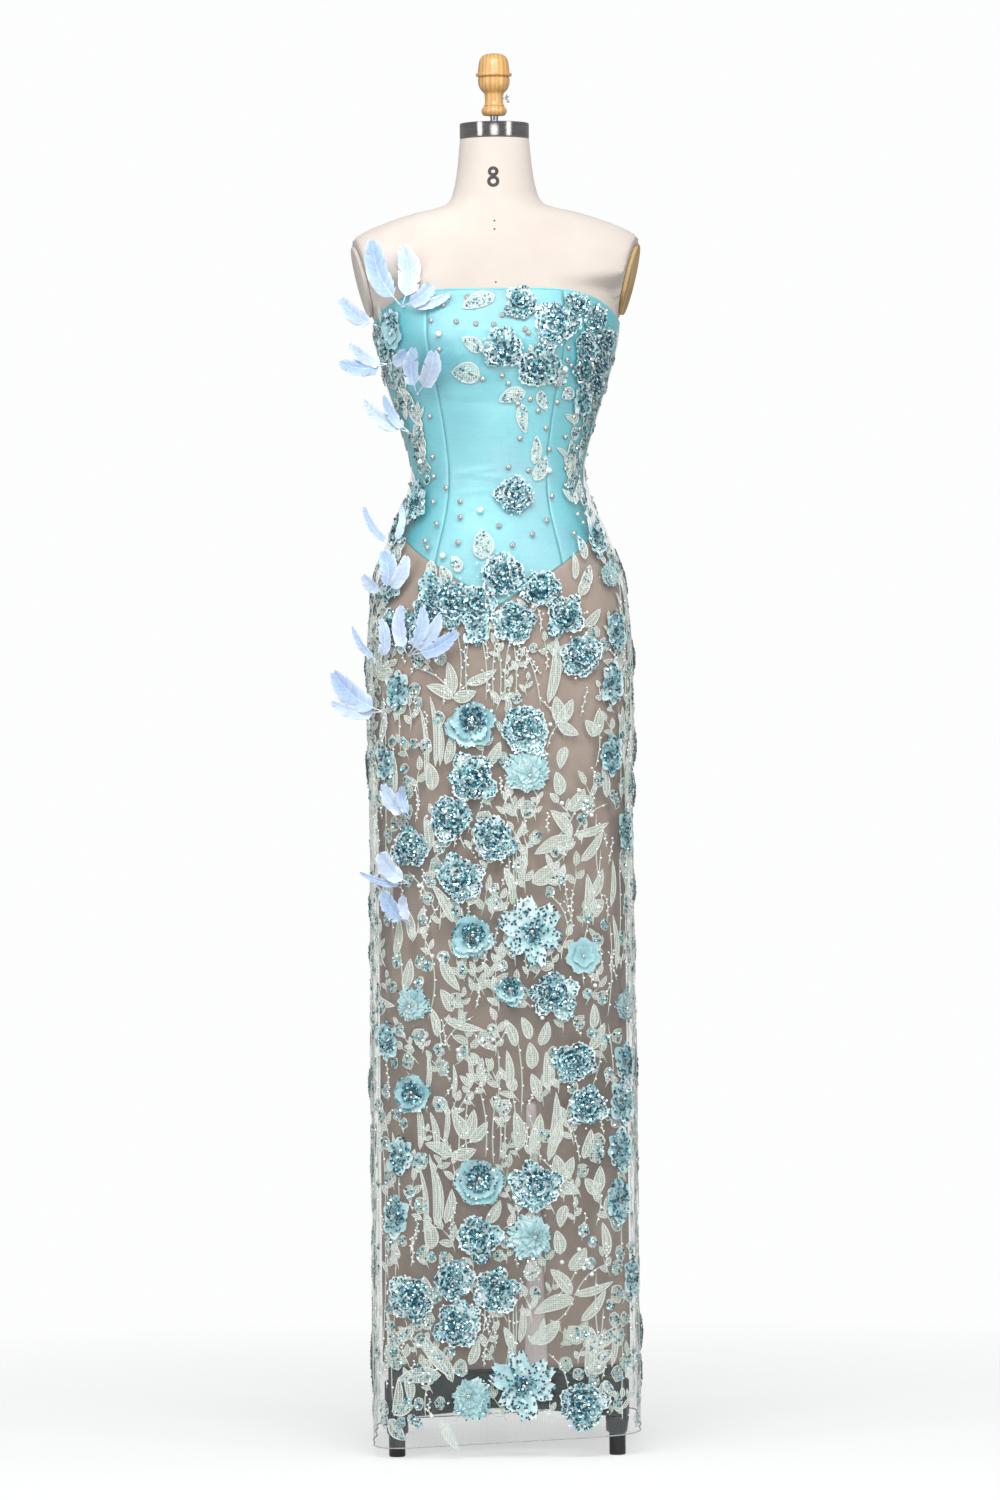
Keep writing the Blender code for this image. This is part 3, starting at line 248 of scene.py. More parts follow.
# Creases of the satin: quarter turn, height, half length in quarter turns, half height and
# rise in millimetres, slope in millimetres for each quarter turn
SATIN_CREASES = (
    (2.84, 1262, 0.16, 3.6, 0.80, 25),
    (3.04, 1252, 0.26, 3.2, 0.75, -18),
    (2.88, 1236, 0.22, 3.6, 0.85, 14),
    (3.08, 1226, 0.20, 3.2, 0.80, 22),
    (2.80, 1215, 0.18, 4.0, 0.75, -20),
    (3.10, 1202, 0.20, 3.6, 0.70, 12),
    (2.92, 1186, 0.20, 4.4, 0.60, -10),
    (3.00, 1350, 0.46, 9.0, -0.80, 0),
    (3.00, 1384, 0.40, 7.0, 0.60, 0),
    (3.46, 1262, 0.12, 3.0, 0.50, -60),
    (3.52, 1236, 0.14, 3.4, 0.50, -40),
    (2.46, 1268, 0.12, 3.0, 0.50, 55),
    (2.42, 1240, 0.14, 3.2, 0.45, 40),
    (3.26, 1352, 0.14, 3.4, 0.35, 30),
    (2.74, 1358, 0.14, 3.6, 0.35, -26),
    (4.60, 1262, 0.22, 3.2, 0.55, 22),
    (4.45, 1240, 0.20, 3.0, 0.50, -16),
    (1.42, 1256, 0.22, 3.4, 0.55, -24),
    (1.55, 1234, 0.20, 3.0, 0.45, 18),
)
# Creases of the lining: the same columns, for soft packing folds and ripples
LINING_CREASES = (
    (2.72, 614, 0.30, 2.2, 0.9, 6),
    (3.10, 426, 0.40, 2.4, 0.9, -5),
    (2.90, 880, 0.26, 4.0, 0.8, 30),
    (3.24, 842, 0.24, 4.0, 0.8, -26),
    (3.40, 700, 0.26, 5.0, 0.7, 14),
    (4.80, 620, 0.50, 2.2, 0.9, 8),
    (1.30, 610, 0.50, 2.2, 0.9, -6),
    (4.70, 424, 0.40, 2.4, 0.8, 6),
    (1.40, 430, 0.40, 2.4, 0.8, -6),
)
# Ripples that run down the lining: quarter turn, half width, rise in millimetres, top, bottom
LINING_RIPPLES = (
    (2.62, 0.035, 2.6, 860, 110),
    (2.72, 0.020, 1.8, 420, 110),
    (2.80, 0.022, 2.2, 560, 110),
    (2.90, 0.018, 1.8, 380, 110),
    (2.98, 0.030, -2.2, 900, 700),
    (3.02, 0.016, 2.0, 500, 110),
    (3.36, 0.030, 2.6, 830, 110),
    (3.46, 0.022, 2.0, 460, 110),
    (3.58, 0.035, 1.6, 760, 110),
    (2.30, 0.040, 1.8, 800, 110),
    (4.35, 0.040, 1.8, 820, 110),
    (4.75, 0.035, 1.5, 860, 110),
    (1.30, 0.035, 1.5, 840, 110),
    (1.70, 0.040, 1.8, 800, 110),
)

# Appliqued flowers of each side: kind, across, height, radius, in millimetres. Across is x at the
# front and back and y at the sides, from the axis.
FLOWERS = {
    "front": (
        ("rose", 73, 1447, 28), ("rose", 33, 1477, 21), ("rose", 55, 1397, 29), ("rose", 7, 1418, 25),
        ("rose", 126, 1454, 21), ("rose", 132, 1402, 19), ("rose", 126, 1372, 18), ("fan", -134, 1440, 21),
        ("rose", 21, 1231, 25), ("rose", -59, 1094, 30), ("rose", 3, 1129, 30), ("rose", 20, 1066, 28),
        ("rose", 54, 1108, 25), ("rose", 85, 1076, 27), ("rose", 103, 1023, 28), ("rose", -27, 1092, 24),
        ("rose", -139, 1060, 22), ("rose", -98, 1050, 22), ("rose", 33, 931, 32),
        ("carnation", 37, 870, 32), ("cup", -37, 938, 30), ("rose", -37, 866, 30), ("rose", -64, 818, 28),
        ("rose", -11, 786, 29), ("rose", -55, 741, 29), ("orchid", 38, 670, 46), ("cup", -39, 663, 27),
        ("fan", 103, 638, 24), ("rose", 64, 588, 29), ("cup", 8, 595, 19), ("rose", -116, 781, 26),
        ("carnation", -118, 575, 26), ("cup", -118, 463, 24), ("rose", 90, 503, 27), ("rose", 106, 446, 27),
        ("carnation", 38, 281, 32), ("rose", 40, 346, 31), ("cup", -34, 352, 31), ("rose", -36, 283, 30),
        ("rose", -11, 214, 29), ("rose", -61, 169, 29), ("rose", -122, 206, 29), ("rose", -66, 226, 27),
        ("orchid", 22, 92, 46), ("carnation", -49, 80, 29), ("rose", 97, 68, 31), ("rose", 104, 1474, 18),
        ("rose", 114, 1420, 20), ("rose", 141, 1428, 18), ("rose", 112, 1390, 18), ("strip", 98, 1452, 12),
        ("strip", -143, 1422, 14), ("strip", -132, 1456, 12), ("rose", -92, 1086, 19),
        ("strip", 110, 1354, 16), ("strip", -104, 1224, 20), ("strip", -129, 1191, 19),
        ("strip", -138, 1121, 19), ("strip", 127, 1173, 18), ("carnation", 141, 1124, 19),
        ("strip", 150, 1055, 20), ("strip", 144, 987, 20), ("strip", 142, 895, 20),
        ("carnation", 155, 569, 22), ("strip", 155, 500, 20), ("strip", 151, 451, 22),
        ("strip", 148, 389, 21), ("strip", 145, 326, 21), ("strip", 161, 229, 19), ("strip", -133, 385, 19),
        ("strip", -140, 308, 20), ("strip", -147, 888, 18), ("strip", -122, 1060, 22),
        ("strip", -131, 980, 19), ("strip", 159, 796, 20), ("strip", -88, 1109, 18),
        ("strip", -148, 531, 19), ("strip", -30, 1060, 17),
    ),
    "back": (
        ("rose", -70, 1395, 25), ("rose", -30, 1352, 21), ("rose", 60, 1085, 28), ("rose", 16, 1040, 23),
        ("rose", -42, 1058, 27), ("rose", -92, 1100, 24), ("rose", -35, 860, 29), ("rose", 22, 820, 27),
        ("cup", 62, 762, 25), ("orchid", 30, 560, 40), ("rose", -42, 540, 28), ("rose", -60, 478, 25),
        ("rose", -62, 205, 28), ("rose", -10, 160, 29), ("orchid", 55, 110, 34),
        ("carnation", -36, 930, 28), ("carnation", 20, 330, 30), ("cup", -48, 350, 26),
        ("strip", 104, 1224, 20), ("strip", -118, 1210, 18), ("strip", 122, 960, 20),
        ("strip", 124, 640, 22), ("strip", -120, 700, 22), ("strip", 120, 400, 22),
        ("strip", -118, 330, 22), ("carnation", 100, 1300, 18), ("rose", 84, 690, 24),
    ),
    "left": (
        ("rose", 30, 700, 25), ("rose", 10, 640, 24), ("rose", 30, 1010, 24), ("cup", 8, 880, 24),
        ("rose", -20, 470, 26), ("carnation", 40, 360, 28), ("rose", 0, 230, 26), ("rose", 50, 120, 28),
        ("strip", 20, 1120, 20), ("strip", -40, 120, 24),
    ),
    "right": (
        ("rose", 10, 905, 25), ("rose", -12, 850, 23), ("rose", 20, 1020, 24), ("carnation", 30, 640, 26),
        ("rose", -10, 720, 24), ("cup", 40, 480, 26), ("rose", 10, 360, 26), ("rose", -30, 150, 26),
        ("rose", 50, 90, 28), ("strip", 16, 1130, 20),
    ),
}
# Leaves of the bodice: foot across and height, turn from upright in degrees, length, width
BODICE_LEAVES = (
    (-21, 1383, -82, 38, 26), (-19, 1414, -55, 31, 17), (-1, 1486, -110, 46, 20),
    (37, 1362, -108, 37, 18), (32, 1347, 173, 38, 14), (55, 1364, 161, 27, 12), (47, 1270, 5, 37, 13),
    (47, 1249, 28, 36, 17), (93, 1251, 1, 51, 18), (-21, 1148, -1, 39, 27), (-127, 1389, 158, 34, 12),
    (-119, 1366, 143, 30, 14), (-113, 1353, 149, 37, 15), (-104, 1327, 172, 34, 17),
    (-94, 1294, -148, 30, 15), (-107, 1273, 158, 33, 15), (-110, 1250, -174, 26, 15),
    (89, 1389, -148, 24, 15), (100, 1363, -112, 21, 15), (103, 1224, 21, 30, 14),
    (112, 1147, -18, 32, 12), (108, 1109, 21, 33, 15), (-129, 1148, -26, 29, 13),
    (-88, 1147, 164, 27, 13), (-65, 1114, -21, 28, 15), (-50, 1132, -26, 23, 13),
)
# Leaves of one repeat of the skirt's lace, which comes again lower down
SKIRT_LEAVES = (
    (98, 1121, -2, 35, 9), (104, 1100, 22, 35, 15), (109, 1060, 48, 35, 12), (62, 962, 7, 89, 13),
    (75, 937, -6, 34, 17), (75, 937, 32, 36, 15), (75, 937, 120, 31, 14), (122, 919, 11, 37, 15),
    (122, 919, -34, 25, 14), (-60, 970, -65, 39, 14), (-60, 970, 75, 31, 15), (-62, 973, -6, 44, 14),
    (-43, 988, 65, 43, 12), (-97, 869, -4, 89, 6), (-84, 882, -4, 91, 8), (-78, 883, -2, 67, 6),
    (-70, 885, 11, 44, 12), (-88, 852, -8, 36, 17), (-17, 884, 30, 34, 13), (76, 844, -9, 31, 15),
    (88, 824, 37, 35, 17), (90, 793, -40, 42, 15), (93, 788, -110, 55, 18), (93, 793, 74, 54, 10),
    (102, 759, 40, 51, 12), (39, 732, 53, 45, 20), (109, 688, 1, 55, 12), (114, 712, 27, 41, 13),
    (113, 696, 59, 24, 17), (-63, 683, -29, 55, 12), (-78, 636, 150, 47, 13), (-84, 537, -14, 39, 10),
    (-76, 561, 107, 53, 10), (-65, 569, -28, 32, 14), (16, 524, -22, 37, 12), (47, 525, 19, 32, 13),
    (34, 533, -20, 30, 12), (115, 545, 3, 32, 12), (111, 519, 33, 39, 14), (6, 469, -2, 50, 10),
    (36, 495, -4, 34, 15), (56, 469, -2, 48, 14), (43, 459, -14, 31, 13), (-98, 469, 1, 47, 6),
    (-65, 459, 1, 43, 5), (-42, 472, -5, 41, 6), (-33, 490, 15, 21, 8), (-116, 660, -13, 44, 12),
    (-127, 598, 15, 40, 15), (-41, 705, 18, 34, 12), (13, 724, -19, 30, 10), (23, 732, 4, 49, 9),
    (13, 705, -6, 42, 8), (-92, 775, -9, 44, 12), (84, 906, -164, 29, 13), (-50, 406, -25, 39, 15),
    (-50, 406, 17, 40, 14), (-44, 403, 42, 34, 13), (20, 393, -8, 49, 15), (34, 393, 15, 47, 15),
    (61, 395, 17, 37, 13), (101, 380, 16, 39, 13), (-86, 393, -10, 49, 8), (-108, 393, -4, 64, 8),
    (-77, 399, 3, 57, 6), (-135, 940, -4, 60, 7), (-140, 830, 3, 70, 7), (-146, 700, -2, 80, 7),
    (-138, 640, 8, 50, 12), (140, 700, 4, 60, 8), (136, 840, -8, 44, 12), (146, 620, -4, 70, 8),
)
HEM_LEAVES = (
    (-117, 166, -127, 41, 15), (-106, 158, 147, 64, 13), (-84, 107, -96, 57, 19), (-147, 61, 75, 31, 14),
    (-150, 51, 140, 34, 18), (113, 141, 50, 38, 15), (108, 129, 1, 37, 12), (114, 124, 62, 24, 15),
    (124, 98, 141, 28, 10), (127, 98, -162, 26, 9),
)
# A repeat comes again this much lower and further left, below the line where the first one ends.
# On the other sides all of it sits higher. Only what falls between the skirt's limits is sewn on.
REPEAT_DROP = 585
REPEAT_SHIFT = -6
REPEAT_TOP = 385
HIDDEN_RISE = 30
SKIRT_LOW, SKIRT_HIGH = 45, 1125
# Step of the small lace between the flowers, its lowest and highest row in millimetres and the
# share of a step from row to row, the lines past which the front is busier, and the places it
# leaves bare: across, height, half width, half height
FILL_STEP = {"front": 15, "back": 24, "left": 24, "right": 24}
FILL_LOW, FILL_HIGH, FILL_ROW = 52, 1075, 1.15
BUSY_LEFT, BUSY_RIGHT = -70, 100
BARE_SPOTS = (
    (110, 990, 22, 34), (96, 975, 26, 22), (-44, 1030, 16, 14), (100, 880, 18, 26), (112, 740, 14, 24),
    (-60, 640, 12, 20), (34, 470, 12, 14), (74, 205, 18, 30), (20, 1030, 14, 16), (118, 300, 14, 18),
    (-70, 900, 14, 22), (88, 1040, 12, 20), (60, 820, 12, 14), (-86, 590, 12, 20),
)
# Stems of one repeat: foot across and height, turn, length, bow, in millimetres and degrees
SKIRT_STEMS = (
    (-52, 975, -3, 90, 5), (-41, 965, 2, 90, -4), (-18, 968, -4, 84, 4), (-8, 960, 3, 90, -3),
    (0, 965, -2, 84, 3), (8, 958, 4, 90, -4), (20, 968, -2, 80, 3), (52, 960, -14, 70, 3),
    (-60, 970, -50, 60, 8), (-60, 970, 62, 44, -6), (72, 932, -30, 40, 5), (60, 905, 35, 50, -6),
    (122, 880, 4, 60, 5), (66, 786, 30, 70, 8), (93, 788, -130, 60, -8), (93, 790, 50, 66, -9),
    (100, 690, 20, 90, 9), (84, 675, -30, 50, 6), (14, 690, 2, 110, 3), (22, 695, -3, 100, -4),
    (2, 690, 5, 80, 4), (-98, 640, 16, 70, -8), (-84, 690, -34, 70, 6), (-96, 560, 4, 80, 6),
    (-79, 520, -20, 60, 6), (-79, 520, 44, 60, -6), (-16, 520, 30, 44, 5), (-16, 520, -44, 30, -5),
    (113, 470, 8, 90, 7), (-10, 440, 2, 80, 3), (22, 440, -2, 90, 3), (-62, 440, 24, 50, 4),
    (-98, 440, -28, 60, 5), (-130, 560, -4, 110, 5), (-140, 660, 3, 130, -4), (-136, 800, -3, 120, 5),
    (-128, 900, 4, 90, -5), (-152, 720, 2, 140, 3), (-148, 860, -2, 120, 3), (134, 560, 3, 120, 5),
    (130, 700, -4, 120, -5), (140, 440, -3, 110, 4), (150, 640, 2, 120, 3), (154, 840, -2, 120, 3),
    (-60, 384, -4, 70, 5), (104, 600, 5, 80, -5),
)
# Small round berries on the lace: across, height
SKIRT_BERRIES = (
    (106, 826), (116, 818), (110, 836), (-16, 546), (-27, 532), (-13, 533), (78, 834), (64, 935),
    (100, 850), (-90, 640), (50, 560), (124, 700), (-8, 700), (-106, 730), (118, 600), (-58, 520),
)
# Crystals and pearls of the bodice: across, height
CRYSTALS = (
    (-61, 1485), (-68, 1475), (-84, 1455), (-51, 1453), (-26, 1450), (-3, 1449), (-74, 1417),
    (-83, 1390), (8, 1461), (25, 1459), (37, 1442), (41, 1437), (-18, 1379), (7, 1383), (15, 1373),
    (55, 1421), (93, 1418), (109, 1412), (91, 1403), (96, 1396), (76, 1372), (89, 1365), (26, 1360),
    (27, 1347), (43, 1353), (53, 1338), (78, 1349), (63, 1316), (29, 1303), (99, 1331), (106, 1316),
    (67, 1289), (-87, 1333), (-98, 1316), (-84, 1281), (-83, 1256), (-67, 1241), (-49, 1223),
    (-84, 1223), (-49, 1203), (-80, 1195), (1, 1191), (44, 1180), (18, 1166), (-52, 1170), (-95, 1173),
    (-92, 1164), (63, 1198), (70, 1229), (88, 1243), (40, 1262), (14, 1266), (103, 1206), (105, 1255),
    (114, 1253), (121, 1228), (98, 1181), (88, 1305), (-37, 1485),
)
PEARLS = (
    (-74, 1437), (-23, 1211), (-72, 1153), (66, 1262), (-99, 1276), (88, 1391), (95, 1446), (43, 1384),
)

# Rings of a domed bead: reach and rise as shares of its radius
DOME_RINGS = ((1.0, 0.0), (0.85, 0.55), (0.45, 0.92))
# Sizes of single beads, in millimetres
BERRY, CRYSTAL, PEARL, STEM_BEAD = 3.2, 3.6, 4.2, 1.6
# Lace along the edges of the front: side, from and to which height, share of dark sequins
EDGE_LACE = ((-1, 1080, 1462, 0.16), (1, 1130, 1440, 0.20))
# Distances in from the edge of the rows of that lace, and of the threads down the skirt's sides
EDGE_ROWS = (4, 13, 23)
EDGE_INSETS = (0.4, 2.5, 6, 11)
EDGE_LOW, EDGE_HIGH = 60, 1090
EDGE_STEP = 8.5
# The back takes the bodice's leaves and crystals lower down, and clear of the zip
BACK_LEAF_CLEAR, BACK_LEAF_DROP = 46, 50
BACK_CRYSTAL_CLEAR, BACK_CRYSTAL_DROP, BACK_CRYSTAL_TOP = 16, 4, 1425
# How far round each side's lace reaches before the next side takes over, in millimetres
LACE_REACH = {"front": 175, "back": 140, "left": 78, "right": 78}
# Sides of the lace: way it faces in degrees, and the coordinate and sign that run across it
SIDES = {"front": (0, 0, 1), "right": (90, 1, 1), "back": (180, 0, -1), "left": (-90, 1, -1)}
# How much of its height the lace keeps at the left and right, where it would widen the outline
SIDE_RELIEF = 0.55
FLOWER_NODES = {
    "front": ("spray_bust", "spray_bust_side", "flower_bust_left", "flower_waist", "spray_hip", "spray_thigh",
              "spray_knee", "flower_left_high", "flower_left_mid", "flower_left_low", "spray_right_low",
              "spray_calf", "spray_hem"),
    "back": ("spray_back_bust", "spray_back_hip", "spray_back_thigh", "spray_back_knee", "spray_back_hem"),
    "left": ("spray_side_left",),
    "right": ("spray_side_right",),
}
# Loose sequins and beads of a flower, and the radius at which a flower has that many. An orchid
# has the same number at any size, and its bars are counted for each petal.
FLOWER_SIZE, STRIP_SIZE = 26 * MM, 20 * MM
ROSE_HEART, ROSE_BEADS, CUP_HEART, CARNATION_EDGE, STRIP_SEQUINS = 26, 12, 130, 30, 140
ORCHID_BARS, ORCHID_HEART = 42, 80
# Petals of an orchid: turn from upright in degrees, reach and width as shares of its radius
ORCHID_PETALS = (
    (-8, 1.0, 0.62), (52, 0.92, 0.70), (104, 0.86, 0.66), (168, 0.98, 0.60), (-134, 0.84, 0.66),
    (-70, 0.98, 0.74),
)
# Whorls of a rose: petals, outer and inner reach as shares of its radius, height of foot and rim
# in millimetres, share of the petals with sequins at the very rim
ROSE_WHORLS = (
    (7, 1.08, 0.45, 0.8, 2.6, 0.45),
    (6, 0.80, 0.28, 2.0, 4.6, 0.85),
    (5, 0.50, 0.08, 3.4, 6.6, 0.90),
)
# Rows of sequins on a petal of a rose: distance in from its rim, count, share that is dark
ROSE_ROWS = ((1.2, 8, 0.06), (3.4, 8, 0.85), (5.6, 6, 0.66), (8.0, 5, 0.05), (10.4, 3, 0.40))
# Whorls of a cup: petals, reach as a share of its radius, height of the rim in millimetres
CUP_WHORLS = ((6, 1.06, 3.6), (5, 0.82, 5.6))
# Whorls of a carnation and of a fan: reach as a share of the radius, petals, height of foot and rim
CARNATION_WHORLS = ((1.12, 15, 0.8, 2.8), (0.84, 12, 2.0, 4.6), (0.52, 8, 3.2, 6.0))
FAN_WHORLS = ((1.0, 7, 0.8, 2.6), (0.62, 5, 2.0, 4.2))

# Feather tufts. Root across and height, then its feathers from left to right: tip across and
# up from the root, width, lift away from the cloth, all in millimetres
TUFTS = {
    "feathers_shoulder": (-119, 1474, ((-36, 82, 15, 14), (2, 74, 15, 6), (35, 24, 10, 16), (55, 12, 7, 8))),
    "feathers_armhole": (-154, 1450, ((-46, 35, 11, 10),)),
    "feathers_bust": (-141, 1400, ((-58, 2, 11, 12), (-48, 26, 9, 18), (22, 14, 9, 4))),
    "feathers_under_bust": (-102, 1362, ((-3, 55, 10, 14), (20, 49, 12, 20))),
    "feathers_waist": (-115, 1313, ((-55, 40, 10, 12), (-32, 46, 7, 18))),
    "feathers_basque": (-137, 1166, ((-35, 50, 6, 10), (11, 54, 5, 14))),
    "feathers_hip": (-147, 1105, ((-25, 22, 8, 10), (0, 52, 12, 16), (26, 46, 9, 12))),
    "feathers_hip_front": (-115, 1025, ((-7, 62, 9, 12), (18, 60, 9, 20), (38, 50, 9, 14), (57, 28, 10, 20))),
    "feathers_thigh_side": (-155, 1016, ((-33, 46, 5, 10), (2, 54, 8, 14))),
    "feathers_thigh": (-152, 952, ((-63, 12, 10, 14), (-62, 50, 15, 22))),
    "feathers_knee_high": (-118, 816, ((-31, 42, 10, 12), (-10, 40, 7, 18))),
    "feathers_knee": (-120, 732, ((-60, 14, 5, 10), (-36, 37, 12, 16))),
    "feathers_knee_low": (-119, 680, ((-31, 40, 11, 12), (-9, 36, 7, 18))),
}
# A feather's bow as a share of its reach, the sweep of its barbs in degrees, the stations down
# its vanes and the share of them that are split, how much wider its soft edges reach than its
# table says, and how pale feathers in turn are
FEATHER_BOW = 0.10
BARB_SWEEP = 34
VANE_STATIONS = 40
VANE_SPLIT = 0.06
FEATHER_FULL = 2.5
FEATHER_TONES = (0.32, 0.14, 0.38, 0.22)
QUILL_WIDTH = 3.0 * MM
KNOT_RADII = (0.8, 1.5, 1.7, 1.5, 0.8)
# Columns of a vane from quill to edge, where it starts up the quill, its half width as a share
# of the feather's, the reach that is left at a split, the added sweep at the tip, how it curls
# back and tilts forward, its flutter, and how much paler its edge and foot are
VANE_STEPS = (0.0, 0.3, 0.6, 0.85, 1.0)
VANE_FOOT = 0.16
VANE_HALF = 0.56
SPLIT_REACH = (0.6, 0.85)
BARB_SWEEP_GAIN = 24
VANE_CURL, VANE_TILT = 0.22, 0.30
FLUTTER, FLUTTER_TURN = 0.5 * MM, 14
EDGE_PALER, FOOT_PALER = 0.38, 0.16
# How a feather lifts from its root to its tip, and how it keeps clear of the cloth at its width
LIFT_CURVE = 1.4
CLEAR_CURVE = 0.5
FEATHER_CLEAR = 1.2 * MM
FEATHER_STATIONS = 13
FEATHER_PROBES = ((0, 0), (-0.6, 0), (0.6, 0), (0, -0.6), (0, 0.6), (0.9, 0.4), (0.9, -0.4))

# Dress form: the grid of its linen, and the plane at each side on which an armhole plate lies
FORM_LOW, FORM_HIGH, FORM_STEP, FORM_COLUMNS = 0.860, 1.695, 5 * MM, 145
FORM_SEAM_LOW, FORM_SEAM_HIGH = 1.450, 1.690
ARMHOLE_BASE = 0.157
ARMHOLE_HEIGHT = 1.455
ARMHOLE_TILT = 0.25
ARMHOLE_YAW = 0.12
PLATE_CENTRE_Z = 1.512
PLATE_HALF_WIDTH = 0.043
PLATE_HALF_HEIGHT = 0.047
# The linen bends to that plane over this height. Within a margin round the plate's oval, and no
# nearer the middle than this, it is sunk a little under the plane.
ARMHOLE_BLEND = 12 * MM
PLATE_MARGIN = 1.08
PLATE_INSIDE = 0.05
PLATE_SUNK = 0.2 * MM
# The plain size on the neck is two rings: across and height of each, its half width and height,
# and the stroke, in millimetres
SIZE_RINGS = ((-2.0, 1649.9, 7.0, 6.6), (-2.0, 1637.1, 8.0, 7.6))
SIZE_STROKE = 4.4
DOT_RADIUS = 1.3
FORM_DOTS = ((-1.0, 1585), (-1.0, 1574), (0.0, 1504))

# Turned parts: radius and height from the top down, in millimetres
CAP_FINE = ((1, 1715.2), (42.2, 1715.2), (43.0, 1715.7), (44.4, 1715.5), (45.0, 1714.8), (45.0, 1697.0),
            (44.6, 1696.2), (43.8, 1695.4), (1, 1695.4))
ROD_FINE = ((4.9, 1725.6), (5.3, 1725.2), (5.3, 1722.4), (4.8, 1722.0), (4.8, 1720.8), (5.3, 1720.4),
            (5.3, 1716.6), (5.0, 1716.0))
KNOB_FINE = (
    (2, 1806.5), (6, 1806.3), (11, 1805.3), (15, 1803.3), (17.3, 1800.2), (18.8, 1796.5), (19.8, 1790.5),
    (20.5, 1783.6), (20.9, 1781.2), (22.6, 1780.8), (23.4, 1779.6), (23.5, 1778.6), (23.0, 1777.2),
    (21.2, 1776.3), (20.0, 1775.9), (19.4, 1775.2), (20.5, 1774.2), (20.6, 1770), (20.1, 1766),
    (18.9, 1762.4), (17.0, 1759.2), (14.6, 1756.6), (13.0, 1755.2), (12.4, 1753), (12.0, 1750),
    (11.9, 1745), (12.1, 1741.2), (13.0, 1739.2), (13.6, 1738.6), (13.0, 1737.8), (14.4, 1736.4),
    (16.0, 1734.2), (16.5, 1732), (16.3, 1729.8), (15.2, 1727.8), (14.0, 1726.2), (6, 1726.1),
)
FOOT_FINE = (
    (12, 49.7), (14.6, 49.2), (15.0, 48.2), (15.0, 45.0), (14.4, 42.8), (13.4, 36.5), (12.6, 30.0),
    (11.4, 28.6), (10.5, 27.6), (10.5, 2.0), (10.1, 0.8), (9.4, 0.0), (2, 0.0),
)

# Floor: the rings of its round patch, and the distance on which its fading is drawn, in metres
FLOOR_RINGS = (0.4, 0.8, 1.3, 1.9, 2.6, 3.4)
FLOOR_SIDES = 72
FLOOR_FADE = 3.0

# The world as the camera sees it, and the light that it gives
WORLD_SEEN = (0.98, 0.985, 0.985, 1.0)
WORLD_TINT = (0.97, 0.985, 1.0, 1.0)
WORLD_FILL = 0.40
# Lights: name, place, aim, size, power
LIGHTS = (
    ("key_left", (-2.9, -2.5, 1.6), (0, 0, 0.95), (0.8, 2.6), 36),
    ("key_right", (2.9, -2.5, 1.5), (0, 0, 0.9), (0.8, 2.6), 34),
    ("top_front", (0, -2.05, 3.2), (0, 0, 1.35), (2.4, 1.3), 82),
    ("low_front", (0, -4.4, 0.8), (0, 0, 0.6), (1.6, 1.6), 30),
)


# Sections of the figure and of the layers over it

def slope_at(before, here, after):
    """The tangent that keeps a curve through three rows free of overshoot."""
    first = (here[1] - before[1]) / (here[0] - before[0])
    second = (after[1] - here[1]) / (after[0] - here[0])
    if first * second <= 0:
        return 0.0
    return 2 * first * second / (first + second)


def table_value(rows, height, column):
    """A column of a table at a height, on a smooth curve. Rows run downward."""
    z = min(max(height / MM, rows[-1][0]), rows[0][0])
    index = 0
    while index < len(rows) - 2 and z < rows[index + 1][0]:
        index += 1
    points = [(row[0], row[column]) for row in rows[max(index - 1, 0):index + 3]]
    if index == 0:
        points.insert(0, (2 * points[0][0] - points[1][0], 2 * points[0][1] - points[1][1]))
    if len(points) < 4:
        points.append((2 * points[-1][0] - points[-2][0], 2 * points[-1][1] - points[-2][1]))
    above, top, low, below = points
    span = low[0] - top[0]
    t = (z - top[0]) / span
    top_slope = slope_at(above, top, low) * span
    low_slope = slope_at(top, low, below) * span
    blend = 3 * t * t - 2 * t * t * t
    value = top[1] + (low[1] - top[1]) * blend
    value += top_slope * (t - 2 * t * t + t * t * t)
    value += low_slope * (t * t * t - t * t)
    return value


def section(ease, height):
    """Half width, front depth, back depth, squareness and lobe at a height, in metres."""
    half, front, back, square, lobe = (table_value(FIGURE, height, c) for c in range(1, 6))
    if ease:
        half += table_value(ease, height, 1)
        front += table_value(ease, height, 2)
        back += table_value(ease, height, 3)
        square += table_value(ease, height, 4)
    return half * MM, front * MM, back * MM, square, lobe * MM


def quarter_gap(quarters, middle):
    """How far round the ring a place is from a middle, in quarter turns either way."""
    return (quarters - middle + 2) % 4 - 2


def fold_out(quarters, height):
    """How far the overlay's folds carry the cloth out here."""
    total = np.zeros(len(quarters))
    for middle, width, rise, start in OVERLAY_FOLDS + OVERLAY_PLEATS:
        if height < start * MM:
            growth = min(1.0, (start * MM - height) / FOLD_GROWTH)
            total += rise * MM * growth * np.exp(-(quarter_gap(quarters, middle) / width) ** 2)
    return total


# Turns round a section, closest together where each quarter starts and ends
SHARES = np.linspace(0, 1, QUARTER_SAMPLES + 1)
QUARTER = SHARES ** GATHER / (SHARES ** GATHER + (1 - SHARES) ** GATHER)
TURNS = np.concatenate([(QUARTER + k)[:-1] for k in (-2, -1, 0, 1)] + [[2.0]]) * math.pi / 2


